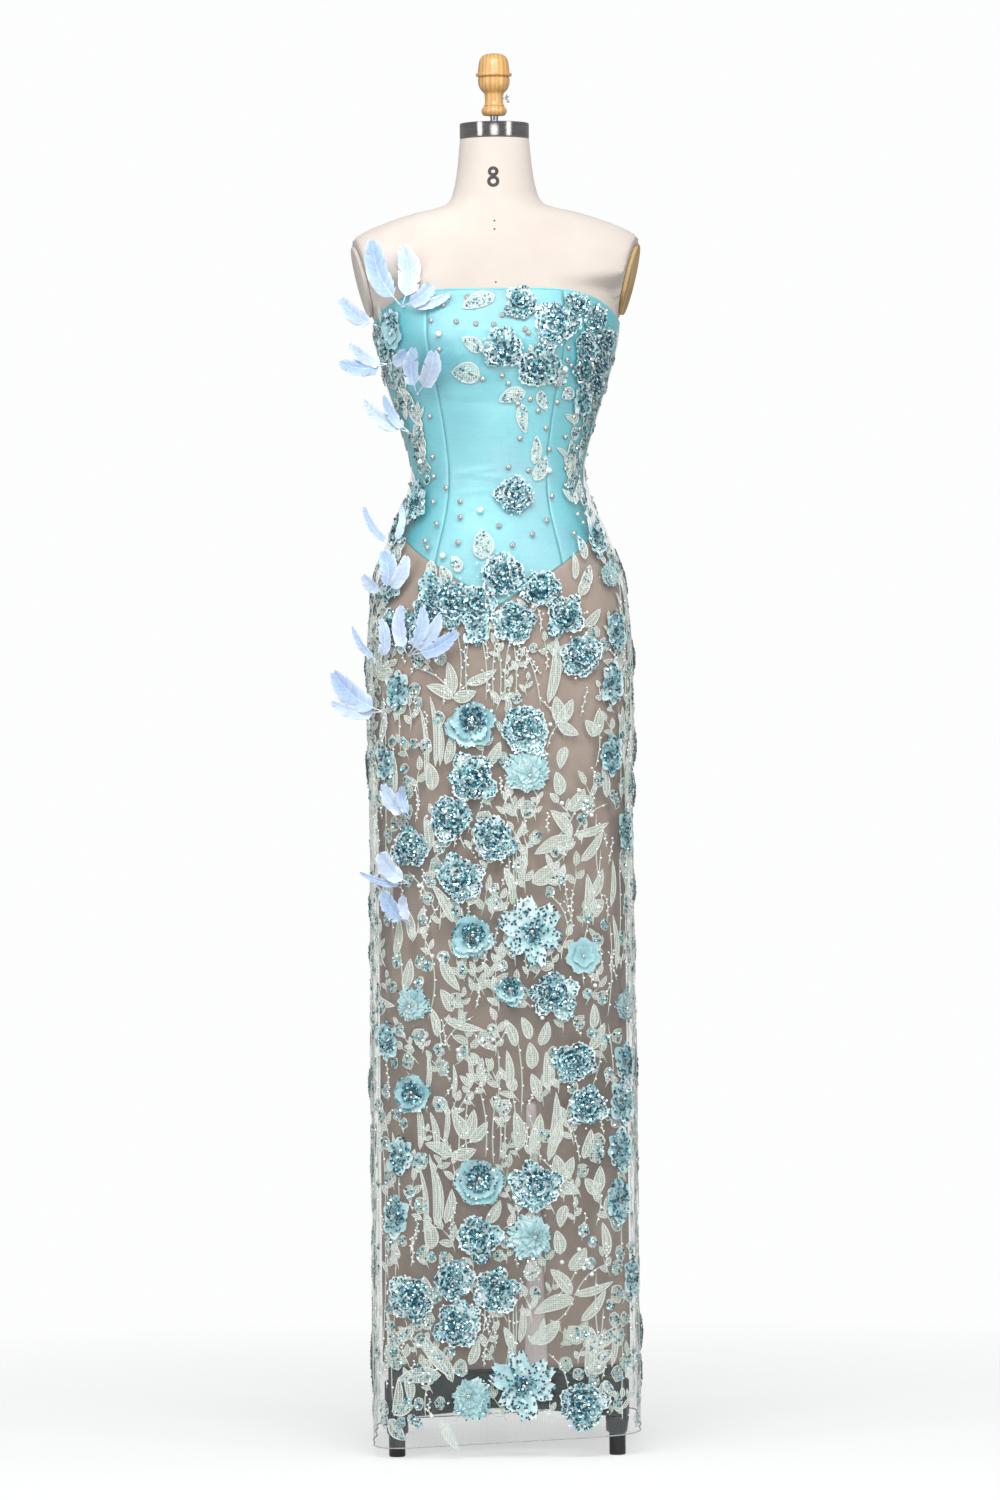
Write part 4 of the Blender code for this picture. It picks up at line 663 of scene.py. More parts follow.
def ring(ease, height, offset, facing=0, folds=False):
    """Positions, metres round from the side faced, quarter turns, and metres in each quarter."""
    half, front, back, square, lobe = section(ease, height)
    turn = TURNS + math.radians(facing)
    c, s = np.cos(turn), np.sin(turn)
    x = np.sign(s) * np.abs(s) ** (2 / square) * half
    y = -np.sign(c) * np.abs(c) ** (2 / square) * np.where(c > 0, front, back)
    y -= np.maximum(c, 0) * lobe * np.exp(-((np.abs(x) - LOBE_X) / LOBE_SPREAD) ** 2)
    steps = np.hypot(np.diff(x), np.diff(y))
    run = np.concatenate([[0.0], np.cumsum(steps)])
    quarters = np.empty(len(run))
    lengths = []
    for k in range(4):
        part = slice(k * QUARTER_SAMPLES, (k + 1) * QUARTER_SAMPLES + 1)
        length = run[part][-1] - run[part][0]
        quarters[part] = 1 + k + (run[part] - run[part][0]) / length
        lengths.append(length)
    quarters += facing / 90
    out = offset + (fold_out(quarters % 4, height) if folds else 0.0)
    along_x, along_y = np.gradient(x), np.gradient(y)
    size = np.hypot(along_x, along_y) + 1e-12
    x, y = x + along_y / size * out, y - along_x / size * out
    round_ = np.concatenate([[0.0], np.cumsum(np.hypot(np.diff(x), np.diff(y)))])
    round_ -= round_[2 * QUARTER_SAMPLES]
    return x, y, round_, quarters, lengths


class Skin:
    """The outside of a layer of cloth or of the form, read by a place round it and a height.

    A place is a quarter turn, or metres round from the middle of the side that it faces.
    """

    def __init__(self, ease, offset, low, high, step, columns, facing=0, metres=False, folds=False):
        self.low, self.step = low, step
        self.columns = columns
        heights = np.arange(low, high + step / 2, step)
        self.points = np.empty((len(heights), len(columns), 3))
        self.front_length = np.empty(len(heights))
        self.back_length = np.empty(len(heights))
        for row, height in enumerate(heights):
            x, y, round_, quarters, lengths = ring(ease, height, offset, facing, folds)
            key = round_ if metres else quarters
            self.points[row, :, 0] = np.interp(columns, key, x)
            self.points[row, :, 1] = np.interp(columns, key, y)
            self.points[row, :, 2] = height
            self.back_length[row], self.front_length[row] = lengths[0], lengths[1]
        up = np.gradient(self.points, axis=0)
        along = np.gradient(self.points, axis=1)
        normals = np.cross(along, up)
        self.normals = normals / (np.linalg.norm(normals, axis=2, keepdims=True) + 1e-12)

    def at(self, flat):
        """Positions for rows of place, height and lift out of the skin."""
        flat = np.asarray(flat, dtype=float)
        last_row, last_column = self.points.shape[0] - 2, self.points.shape[1] - 2
        across = (flat[:, 0] - self.columns[0]) / (self.columns[1] - self.columns[0])
        upward = (flat[:, 1] - self.low) / self.step
        column = np.clip(np.floor(across), 0, last_column).astype(int)
        row = np.clip(np.floor(upward), 0, last_row).astype(int)
        a = np.clip(across - column, 0, 1)[:, None]
        b = np.clip(upward - row, 0, 1)[:, None]

        def read(grid):
            low = grid[row, column] * (1 - a) + grid[row, column + 1] * a
            high = grid[row + 1, column] * (1 - a) + grid[row + 1, column + 1] * a
            return low * (1 - b) + high * b

        placed = read(self.points) + read(self.normals) * flat[:, 2:3]
        placed[:, 2] += flat[:, 1] - np.clip(flat[:, 1], self.low, self.low + self.step * (last_row + 1))
        return placed + AXIS

    def row_of(self, height):
        return min(max(int(round((height - self.low) / self.step)), 0), len(self.points) - 1)

    def inset(self, quarter, height, distance):
        """A quarter turn moved along the cloth by a distance in metres."""
        lengths = self.back_length if quarter % 4 < 2 else self.front_length
        return quarter + distance / lengths[self.row_of(height)]

    def place_of(self, coordinate, sign, value, height):
        """The metres round at which a coordinate of the skin reaches a value."""
        line = self.points[self.row_of(height), :, coordinate] * sign
        line = np.maximum.accumulate(line[np.abs(self.columns) < FACE_REACH])
        return float(np.interp(value * sign, line, self.columns[np.abs(self.columns) < FACE_REACH]))


plain_skin = Skin(None, 0.0, 0.0, DRESS_TOP, SKIN_STEP, QUARTERS)
bodice_skin = Skin(None, BODICE_OFFSET, 1.0, DRESS_TOP, SKIN_STEP, QUARTERS)
lining_skin = Skin(LINING_EASE, LINING_OFFSET, 0.0, 1.3, SKIN_STEP, QUARTERS)
overlay_skin = Skin(OVERLAY_EASE, OVERLAY_OFFSET, 0.0, DRESS_TOP, SKIN_STEP, QUARTERS, folds=True)

# The lace lies on the overlay
lace_skins = {}
for side_name, (side_facing, side_axis, side_sign) in SIDES.items():
    lace_skins[side_name] = Skin(
        OVERLAY_EASE, LACE_OFFSET, 0.0, DRESS_TOP, SKIN_STEP, ROUNDS, side_facing, metres=True, folds=True)


def mix(a, b, share):
    return a + (b - a) * share


def turned(foot, turn, aside, along):
    """A place beside and along a line that starts at a foot and leans by a turn from upright."""
    return (foot[0] + along * math.sin(turn) + aside * math.cos(turn),
            foot[1] + along * math.cos(turn) - aside * math.sin(turn))


def polar(foot, reach, turn):
    return turned(foot, turn, 0.0, reach)


def circle(centre, radius, height, sides):
    turns = [2 * math.pi * k / sides for k in range(sides)]
    return [(centre[0] + radius * math.cos(t), centre[1] + radius * math.sin(t), height) for t in turns]


def half_width(quarter, height):
    return abs(plain_skin.at([(quarter, height, 0.0)])[0][0] - AXIS[0])


TOP_HALF = half_width(4.0, TOP_SIDE)


def top_edge(quarter):
    share = min(1.0, half_width(quarter, TOP_SIDE) / TOP_HALF)
    if 2 <= quarter <= 4:
        return TOP_FRONT - (TOP_FRONT - TOP_SIDE) * share ** TOP_CURVE
    return mix(TOP_BACK, TOP_SIDE, share)


def basque_edge(quarter):
    x = half_width(quarter, BASQUE_MIDDLE)
    if 2 < quarter < 4:
        return mix(BASQUE_FRONT, BASQUE_SIDE, min(1.0, x / BASQUE_HALF_WIDTH))
    share = max(0.0, x - BASQUE_BACK_FLAT) / (BASQUE_HALF_WIDTH - BASQUE_BACK_FLAT)
    return mix(BASQUE_BACK, BASQUE_SIDE, min(1.0, share))


def overlay_hem(quarter):
    return OVERLAY_HEM + OVERLAY_HEM_TILT * (overlay_skin.at([(quarter, OVERLAY_HEM, 0.0)])[0][0] - AXIS[0])


def overlay_top(quarter):
    return top_edge(quarter) - OVERLAY_TOP_DROP


def lining_top(quarter):
    return basque_edge(quarter) - SEAM_GAP


# Building blocks

def add_object(name, data):
    obj = bpy.data.objects.new(name, data)
    bpy.context.scene.collection.objects.link(obj)
    return obj


def new_object(name, vertices, faces, material, smooth=True):
    mesh = bpy.data.meshes.new(name)
    mesh.from_pydata(np.asarray(vertices).tolist(), [], faces)
    mesh.materials.append(material)
    if smooth:
        mesh.shade_smooth()
    return add_object(name, mesh)


def grid_faces(columns, rows, base=0, closed=False):
    faces = []
    for r in range(rows - 1):
        for c in range(columns if closed else columns - 1):
            a = base + r * columns + c
            b = base + r * columns + (c + 1) % columns
            faces.append((a, b, b + columns, a + columns))
    return faces


def gather(vertices, faces, more, more_faces):
    """Adds a part to lists of vertices and faces."""
    base = len(vertices)
    vertices += [tuple(v) for v in more]
    faces += [tuple(base + i for i in face) for face in more_faces]


def set_tones(mesh, tones):
    """Gives each vertex its tone, which the materials read."""
    colours = np.ones((len(tones), 4), dtype=np.float32)
    colours[:, :3] = np.asarray(tones)[:, None]
    mesh.color_attributes.new("tone", "FLOAT_COLOR", "POINT").data.foreach_set("color", colours.ravel())


def lay_flat(mesh, spots):
    """Gives each vertex its place on the flat cloth, in metres."""
    loops = np.empty(len(mesh.loops), dtype=np.int32)
    mesh.loops.foreach_get("vertex_index", loops)
    mesh.uv_layers.new(name="flat").data.foreach_set("uv", spots[loops].astype(np.float32).ravel())


def thicken(obj, thick, offset):
    shell = obj.modifiers.new("cloth", "SOLIDIFY")
    shell.thickness = thick
    shell.offset = offset


def finish_piece(obj, slot, body=MAIN, replaced=()):
    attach(obj, body)
    if replaced:
        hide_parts(*replaced)
    return obj


class Batch:
    """Small parts laid on one skin, gathered into one piece. Corners are place, height, lift."""

    def __init__(self, name, skin, material, relief, smooth=True):
        self.name, self.skin, self.material, self.relief, self.smooth = name, skin, material, relief, smooth
        self.corners, self.faces, self.tones, self.spots = [], [], [], []
        self.count = 0

    def add(self, corners, faces, tone, spots=None):
        corners = np.asarray(corners, dtype=float)
        self.corners.append(corners)
        self.faces += [tuple(self.count + i for i in face) for face in faces]
        self.tones.append(np.broadcast_to(np.asarray(tone, dtype=float), (len(corners),)))
        self.spots.append(corners[:, :2] if spots is None else np.asarray(spots, dtype=float))
        self.count += len(corners)

    def build(self, replaced=()):
        placed = self.skin.at(np.concatenate(self.corners) * (1, 1, self.relief))
        obj = new_object(self.name, placed, self.faces, self.material, self.smooth)
        set_tones(obj.data, np.concatenate(self.tones))
        lay_flat(obj.data, np.concatenate(self.spots))
        return finish_piece(obj, "applique", replaced=replaced)


# Materials

def linear(red, green, blue):
    """A colour given from 0 to 255, as the shader's linear one."""
    values = []
    for value in (red, green, blue):
        share = value / 255
        values.append(share / 12.92 if share <= 0.04045 else ((share + 0.055) / 1.055) ** 2.4)
    return (*values, 1.0)


class Paint:
    """A node material built round one principled shader."""

    def __init__(self, name, roughness=0.5, metallic=0.0, **values):
        self.material = bpy.data.materials.new(name)
        self.material.use_nodes = True
        self.tree = self.material.node_tree
        self.shader = self.tree.nodes["Principled BSDF"]
        self.shader.inputs["Roughness"].default_value = roughness
        self.shader.inputs["Metallic"].default_value = metallic
        for socket, value in values.items():
            self.shader.inputs[socket.replace("_", " ")].default_value = value

    def node(self, kind, sockets=(), **settings):
        made = self.tree.nodes.new(kind)
        for key, value in settings.items():
            setattr(made, key, value)
        for socket, value in dict(sockets).items():
            if isinstance(value, bpy.types.NodeSocket):
                self.tree.links.new(value, made.inputs[socket])
            else:
                made.inputs[socket].default_value = value
        return made

    def coords(self, stretch=(1, 1, 1), source="Object"):
        start = self.node("ShaderNodeTexCoord").outputs[source]
        return self.node("ShaderNodeMapping", {"Vector": start, "Scale": stretch}).outputs["Vector"]

    def noise(self, scale, detail=2.0, stretch=(1, 1, 1), source="Object"):
        sockets = {"Vector": self.coords(stretch, source), "Scale": scale, "Detail": detail}
        return self.node("ShaderNodeTexNoise", sockets).outputs["Fac"]

    def wave(self, scale, stretch=(1, 1, 1), source="Object", bands="X", distortion=0.0):
        sockets = {"Vector": self.coords(stretch, source), "Scale": scale, "Distortion": distortion}
        return self.node("ShaderNodeTexWave", sockets, bands_direction=bands).outputs["Fac"]

    def cells(self, scale, randomness):
        """The distance to the threads of a net with cells of many sides."""
        sockets = {"Vector": self.coords(source="UV"), "Scale": scale, "Randomness": randomness}
        return self.node("ShaderNodeTexVoronoi", sockets, feature="DISTANCE_TO_EDGE").outputs["Distance"]

    def math(self, operation, a, b=0.5, clamp=False):
        return self.node("ShaderNodeMath", {0: a, 1: b}, operation=operation, use_clamp=clamp).outputs[0]

    def tone(self):
        return self.node("ShaderNodeAttribute", attribute_name="tone").outputs["Fac"]

    def ramp(self, factor, stops):
        made = self.node("ShaderNodeValToRGB", {"Fac": factor})
        elements = made.color_ramp.elements
        while len(elements) < len(stops):
            elements.new(1.0)
        for element, (place, colour) in zip(elements, stops):
            element.position = place
            element.color = linear(*colour) if len(colour) == 3 else colour
        return made.outputs["Color"]

    def steps(self, factor, stops):
        """A ramp between plain values."""
        return self.ramp(factor, [(place, (value, value, value, 1.0)) for place, value in stops])

    def join(self, socket, value):
        self.tree.links.new(value, self.shader.inputs[socket])

    def bump(self, height, distance):
        sockets = {"Height": height, "Distance": distance, "Strength": 1.0}
        self.join("Normal", self.node("ShaderNodeBump", sockets).outputs["Normal"])


def woven_paint(name, roughness, tint, shades, threads, slub, depth, distortion=0.0, **values):
    """A cloth in uneven shades, with the relief of its two threads and of slubs in them."""
    paint = Paint(name, roughness=roughness, **values)
    paint.join("Base Color", paint.ramp(paint.noise(*tint), shades))
    weave = paint.math("ADD", paint.wave(threads, bands="Z", distortion=distortion),
                       paint.wave(threads, bands="X", distortion=distortion))
    paint.bump(paint.math("ADD", weave, paint.noise(*slub)), depth)
    return paint


def plain_paint(name, roughness, tint, shades, grain, depth, **values):
    """Noise between a few shades, over the relief of a finer noise or, given one number, of ribs."""
    paint = Paint(name, roughness=roughness, **values)
    paint.join("Base Color", paint.ramp(paint.noise(*tint), shades))
    paint.bump(paint.noise(*grain) if isinstance(grain, tuple) else paint.wave(grain, bands="Z"), depth)
    return paint.material


def satin_paint():
    paint = woven_paint(
        "satin", 0.38, (9, 3), ((0.30, (8, 184, 202)), (0.52, (22, 202, 216)), (0.75, (52, 214, 226))),
        420, (60, 3), 0.00010, Sheen_Weight=0.15, Sheen_Roughness=0.4, IOR=2.2, Coat_Weight=0.5,
        Coat_Roughness=0.3, Specular_IOR_Level=1.0)
    paint.join("Roughness", paint.steps(paint.noise(25), ((0.3, 0.33), (0.7, 0.45))))
    return paint.material


def tulle_paint():
    paint = Paint("tulle", roughness=0.75, Sheen_Weight=0.5)
    thread = paint.steps(paint.cells(620.0, 0.35), ((0.06, 0.32), (0.17, 0.0)))
    gloss = paint.steps(paint.noise(14, 3), ((0.35, 0.015), (0.7, 0.045)))
    paint.join("Alpha", paint.math("ADD", thread, gloss, clamp=True))
    paint.join("Base Color", paint.ramp(paint.noise(30), ((0.3, (134, 144, 145)), (0.7, (170, 179, 179)))))
    return paint.material


def thread_paint():
    paint = Paint("thread", roughness=0.55, Sheen_Weight=0.3)
    shade = paint.math("ADD", paint.tone(), paint.math("MULTIPLY", paint.noise(500, 2), 0.3))
    paint.join("Base Color", paint.ramp(shade, (
        (0.10, (60, 96, 104)), (0.45, (176, 200, 190)), (0.75, (216, 230, 218)), (1.0, (244, 249, 244)))))
    paint.bump(paint.wave(900, (1, 1, 1), "UV", "DIAGONAL"), 0.0003)
    return paint.material


def net_paint():
    """The fine ladder net that fills the corded leaves."""
    paint = Paint("net", roughness=0.6, Sheen_Weight=0.3)
    paint.join("Alpha", paint.steps(paint.cells(430.0, 0.2), ((0.08, 0.9), (0.20, 0.12))))
    paint.join("Base Color", paint.ramp(paint.tone(), (
        (0.0, (160, 186, 180)), (0.5, (204, 220, 208)), (1.0, (234, 243, 236)))))
    return paint.material


def organza_paint():
    paint = Paint("organza", roughness=0.45, Sheen_Weight=0.5)
    shade = paint.math("ADD", paint.tone(), paint.math("MULTIPLY", paint.noise(160, 3), 0.35))
    paint.join("Base Color", paint.ramp(shade, (
        (0.10, (70, 120, 132)), (0.40, (124, 176, 186)), (0.66, (170, 212, 217)), (0.95, (222, 240, 241)))))
    paint.bump(paint.noise(700, 3), 0.0005)
    paint.shader.inputs["Alpha"].default_value = 0.93
    return paint.material


def sequin_paint():
    """Faceted discs, darker at the rim, each with its own tone."""
    paint = Paint("sequin", roughness=0.16, metallic=0.55, Coat_Weight=0.6, Coat_Roughness=0.05)
    spot = paint.node("ShaderNodeTexCoord").outputs["UV"]
    reach = paint.node("ShaderNodeVectorMath", {0: spot}, operation="LENGTH").outputs["Value"]
    rim = paint.steps(reach, ((0.10, 0.35), (0.22, 1.0), (0.62, 1.0), (0.80, 0.55)))
    # The near-white top of this ramp is a painted glint, given to sequins picked at random.
    colour = paint.ramp(paint.tone(), (
        (0.0, (26, 82, 100)), (0.25, (54, 128, 148)), (0.5, (108, 188, 202)),
        (0.75, (170, 226, 232)), (1.0, (248, 252, 255))))
    mixed = paint.node("ShaderNodeMix", {0: 1.0, 6: colour, 7: rim}, data_type="RGBA", blend_type="MULTIPLY")
    paint.join("Base Color", mixed.outputs[2])
    return paint.material


def bead_paint():
    paint = Paint("bead", roughness=0.12, metallic=0.25, Coat_Weight=0.8, Coat_Roughness=0.05)
    paint.join("Base Color", paint.ramp(paint.math("ADD", paint.tone(), paint.math(
        "MULTIPLY", paint.noise(900, 1), 0.2)), (
        (0.0, (110, 84, 60)), (0.3, (150, 140, 130)), (0.6, (214, 222, 222)), (1.0, (250, 250, 250)))))
    return paint.material


def feather_paint():
    paint = Paint("feather", roughness=0.75, Sheen_Weight=0.4)
    shade = paint.math("ADD", paint.tone(), paint.math("MULTIPLY", paint.noise(220, 2, (1, 1, 0.2)), 0.25))
    paint.join("Base Color", paint.ramp(shade, (
        (0.12, (128, 162, 206)), (0.42, (166, 192, 224)), (0.68, (198, 214, 234)), (0.95, (228, 235, 243)))))
    return paint.material


def metal_paint(name, shades, roughness, stretch):
    paint = Paint(name, roughness=roughness, metallic=1.0)
    paint.join("Base Color", paint.ramp(paint.noise(30, 3, stretch), (
        (0.3, shades[0]), (0.7, shades[1]))))
    paint.join("Roughness", paint.steps(paint.noise(300, 3, stretch), (
        (0.3, roughness * 0.7), (0.7, roughness * 1.4))))
    paint.bump(paint.noise(600, 2, stretch), 0.00003)
    return paint.material


def wood_paint():
    paint = Paint("wood", roughness=0.35, Coat_Weight=0.35, Coat_Roughness=0.2)
    grain = paint.wave(60, (1, 1, 0.12), distortion=6.0)
    fine = paint.noise(400, 4, (1, 1, 0.06))
    paint.join("Base Color", paint.ramp(paint.math("ADD", paint.math("MULTIPLY", grain, 0.2),
                                                   paint.math("MULTIPLY", fine, 0.6)), (
        (0.15, (172, 124, 66)), (0.5, (208, 164, 102)), (0.85, (230, 194, 136)))))
    paint.bump(fine, 0.0001)
    return paint.material


SATIN, TULLE, THREAD = satin_paint(), tulle_paint(), thread_paint()
NET, ORGANZA, SEQUIN = net_paint(), organza_paint(), sequin_paint()
BEAD, FEATHER, WOOD = bead_paint(), feather_paint(), wood_paint()
LINING = woven_paint(
    "lining", 0.62, (6, 4, (1, 1, 0.5)),
    ((0.28, (152, 129, 115)), (0.5, (172, 149, 134)), (0.74, (190, 168, 153))),
    500, (40, 4), 0.00012, Sheen_Weight=0.2).material
LINEN = woven_paint(
    "linen", 0.85, (5, 4), ((0.28, (198, 187, 178)), (0.5, (210, 200, 191)), (0.74, (220, 211, 203))),
    330, (260, 3), 0.00018, distortion=1.0, Sheen_Weight=0.15).material
BOARD = plain_paint(
    "plate_board", 0.7, (60, 5, (1, 1, 0.4)),
    ((0.3, (150, 118, 72)), (0.5, (184, 152, 102)), (0.72, (206, 178, 132))),
    (400, 3), 0.0002)
IRON = plain_paint("cast_iron", 0.4, (40, 4), ((0.3, (14, 14, 16)), (0.7, (34, 34, 36))), (220, 4), 0.0003,
                   Coat_Weight=0.2)
HEM = plain_paint("hem_thread", 0.7, (200, 2), ((0.3, (150, 157, 157)), (0.7, (178, 184, 183))),
                  (900, 2), 0.0001, Sheen_Weight=0.2)
# The slit's facing: pale partly as its own cloth and partly as painted light for the light that shows through
# the slit.
FACING_AND_BACKLIGHT = plain_paint("facing", 0.6, (18, 3), ((0.3, (222, 206, 199)), (0.7, (240, 228, 223))), 500, 0.0001,
                     Sheen_Weight=0.3)
INK = plain_paint("ink", 0.7, (300, 3), ((0.3, (44, 42, 42)), (0.7, (70, 68, 68))), (600, 2), 0.0001)
TAPE = plain_paint("zip_tape", 0.7, (120, 3), ((0.3, (82, 186, 190)), (0.7, (116, 208, 210))), 700, 0.0002,
                   Sheen_Weight=0.2)
CHROME = metal_paint("chrome", ((138, 136, 135), (160, 158, 156)), 0.09, (1, 1, 14))
STEEL = metal_paint("steel", ((150, 152, 154), (188, 190, 192)), 0.22, (1, 1, 6))


# Cloth

def relief(rows, quarters, height):
    """Creases that run round the cloth."""
    total = 0.0
    for middle, level, half_round, half_high, rise, slope in rows:
        gap = quarter_gap(quarters, middle)
        line = level * MM + slope * MM * gap
        above = (height - line) / (half_high * MM)
        total = total + rise * MM * np.exp(-(gap / half_round) ** 2 - above ** 2)
    return total


def ripple(rows, quarters, height):
    """Creases that run down the cloth."""
    total = 0.0
    for middle, width, rise, top, low in rows:
        inside = np.clip((top * MM - height) / RIPPLE_START, 0, 1)
        inside = inside * np.clip((height - low * MM) / RIPPLE_END + 1, 0, 1)
        total = total + rise * MM * inside * np.exp(-(quarter_gap(quarters, middle) / width) ** 2)
    return total


class Cloth:
    """Panels of one cloth, gathered into one piece with the cloth's thickness."""

    def __init__(self, name, skin, material):
        self.name, self.skin, self.material = name, skin, material
        self.corners, self.faces, self.uvs, self.count = [], [], [], 0

    def panel(self, start, end, top, low, columns, rows, insets=(PANEL_EDGE, PANEL_EDGE), lift=None,
              press=0.0, slit=False):
        """A panel from one quarter turn to another. Insets are metres, or functions of the height."""
        shares = np.linspace(0, 1, columns)
        tops = [top(q) for q in mix(start, end, shares)]
        lows = [low(q) for q in mix(start, end, shares)]
        # The length of the last quarter turn is read just inside its end
        inner = end - 0.001
        flat = []
        for r in range(rows):
            for c in range(columns):
                height = mix(tops[c], lows[c], r / (rows - 1))
                left, right = (inset(height) if callable(inset) else inset for inset in insets)
                first = self.skin.inset(start, height, left)
                last = end - (self.skin.inset(inner, height, right) - inner)
                flat.append((mix(first, last, shares[c]), height, shares[c]))
        flat = np.array(flat)
        self.uvs.append(flat[:, :2] * (QUARTER_CLOTH, 1))
        out = lift(flat[:, 0], flat[:, 1]) if lift else 0.0
        if press:
            for edge in (flat[:, 2], 1 - flat[:, 2]):
                out = out - press * np.exp(-(edge * (end - start) * PRESS_SPAN / SEAM_ROUND) ** 2)
        flat[:, 2] = out
        if slit:
            flat[:, 0] = slit_bend(flat[:, 0], flat[:, 1])
        self.corners.append(self.skin.at(flat))
        for a, b, c, d in grid_faces(columns, rows):
            if not slit or not slit_face(flat[a], flat[d], flat[b]):
                self.faces.append(tuple(self.count + i for i in (d, c, b, a)))
        self.count += len(flat)

    def build(self, slot, replaced, thick=0.0):
        obj = new_object(self.name, np.concatenate(self.corners), self.faces, self.material)
        lay_flat(obj.data, np.concatenate(self.uvs))
        if thick:
            thicken(obj, thick, -1.0)
        return finish_piece(obj, slot, replaced=replaced)


def slit_half(height):
    share = np.clip((SLIT_TOP - height) / (SLIT_TOP - LINING_HEM), 0, 1)
    return 0.5 * mix(SLIT_TOP_WIDTH, SLIT_HEM_WIDTH, share) / LINING_QUARTER


def slit_bend(quarters, height):
    """Opens the lining either side of the slit's line, and closes again within a hand's breadth."""
    gap = quarters - SLIT_MIDDLE
    side = np.where(gap >= 0, 1.0, -1.0)
    spread = slit_half(height) * (height < SLIT_TOP)
    fade = np.clip(1 - np.abs(gap) / SLIT_FADE, 0, 1)
    return quarters + side * spread * fade


def slit_face(top_left, low_left, top_right):
    """Whether a face of the lining's grid is stretched across the open slit."""
    middle = (top_left[0] + top_right[0]) / 2
    wide = abs(top_right[0] - top_left[0]) > slit_half(low_left[1]) * SLIT_STRETCH
    return low_left[1] < SLIT_TOP and abs(middle - SLIT_MIDDLE) < SLIT_NEAR and wide


def make_bodice():
    cloth = Cloth("bodice", bodice_skin, SATIN)

    def wrinkles(quarters, height):
        return relief(SATIN_CREASES, quarters, height)

    for start, end, columns, *zips in BODICE_PANELS:
        insets = [ZIP_PANEL_INSET if zipped else PANEL_EDGE for zipped in zips]
        cloth.panel(start, end, top_edge, basque_edge, columns, BODICE_ROWS, insets, wrinkles, SEAM_PRESS)
    return cloth.build("satin", ("bodice_front", "bodice_side_left", "bodice_side_right",
                                 "bodice_back_left", "bodice_back_right"), BODICE_THICK)


def make_lining():
    cloth = Cloth("lining", lining_skin, LINING)

    def folds(quarters, height):
        return relief(LINING_CREASES, quarters, height) + ripple(LINING_RIPPLES, quarters, height)

    def hem(quarter):
        return LINING_HEM

    cloth.panel(2.0, 4.0, lining_top, hem, 81, 150, lift=folds, slit=True)
    cloth.panel(4.0, 5.0, lining_top, hem, 34, 130, (PANEL_EDGE, 0.0), folds)
    cloth.panel(1.0, 2.0, lining_top, hem, 34, 130, (0.0, PANEL_EDGE), folds)
    return cloth.build("lining", ("lining_front", "lining_back"), LINING_THICK)


def make_facing():
    """The strip that lies behind the slit: a facing whose pale colour is also painted light, for the light
    that shows through the slit.
    """
    cloth = Cloth("slit_facing_and_backlight", lining_skin, FACING_AND_BACKLIGHT)

    def behind(quarters, height):
        gap = quarter_gap(quarters, SLIT_MIDDLE)
        return -FACING_DEPTH + FACING_SAG * np.exp(-(gap / FACING_HOLLOW) ** 2)

    def top(quarter):
        return FACING_TOP

    def low(quarter):
        return LINING_HEM + 3 * MM

    cloth.panel(SLIT_MIDDLE - FACING_HALF, SLIT_MIDDLE + FACING_HALF, top, low, 15, 90, lift=behind)
    return cloth.build("lining", (), FACING_THICK)


def make_overlay():
    cloth = Cloth("overlay", overlay_skin, TULLE)

    def zip_edge(height):
        return ZIP_OVERLAY_INSET if height > BASQUE_BACK else PANEL_EDGE

    cloth.panel(2.0, 4.0, overlay_top, overlay_hem, 240, 150)
    cloth.panel(4.0, 5.0, overlay_top, overlay_hem, 90, 130, (PANEL_EDGE, zip_edge))
    cloth.panel(1.0, 2.0, overlay_top, overlay_hem, 90, 130, (zip_edge, PANEL_EDGE))
    return cloth.build("tulle", ("overlay_front", "overlay_back_left", "overlay_back_right"))


def tube(points, radius, sides=6):
    """A round tube along points, tapered by a list of radii."""
    points = np.asarray(points, dtype=float)
    count = len(points)
    radii = np.broadcast_to(np.asarray(radius, dtype=float), (count,))
    along = np.gradient(points, axis=0)
    along /= np.linalg.norm(along, axis=1, keepdims=True) + 1e-12
    guide = np.array((0.0, 0.0, 1.0)) if abs(along[:, 2]).mean() < 0.7 else np.array((0.0, 1.0, 0.0))
    first = np.cross(along, guide)
    first /= np.linalg.norm(first, axis=1, keepdims=True) + 1e-12
    second = np.cross(along, first)
    vertices = []
    for i in range(count):
        for k in range(sides):
            turn = 2 * math.pi * k / sides
            vertices.append(points[i] + (first[i] * math.cos(turn) + second[i] * math.sin(turn)) * radii[i])
    faces = grid_faces(sides, count, closed=True)
    faces += [tuple(reversed(range(sides))), tuple(range((count - 1) * sides, count * sides))]
    return vertices, faces


def edge_roll(name, skin, edge, start, end, count, radius, material, slot, lift=0.0):
    quarters = np.linspace(start, end, count)
    flat = [(q, edge(q), lift) for q in quarters]
    return finish_piece(new_object(name, *tube(skin.at(flat), radius), material), slot)


# Lace: cords, leaves, flowers and beads on one side's skin

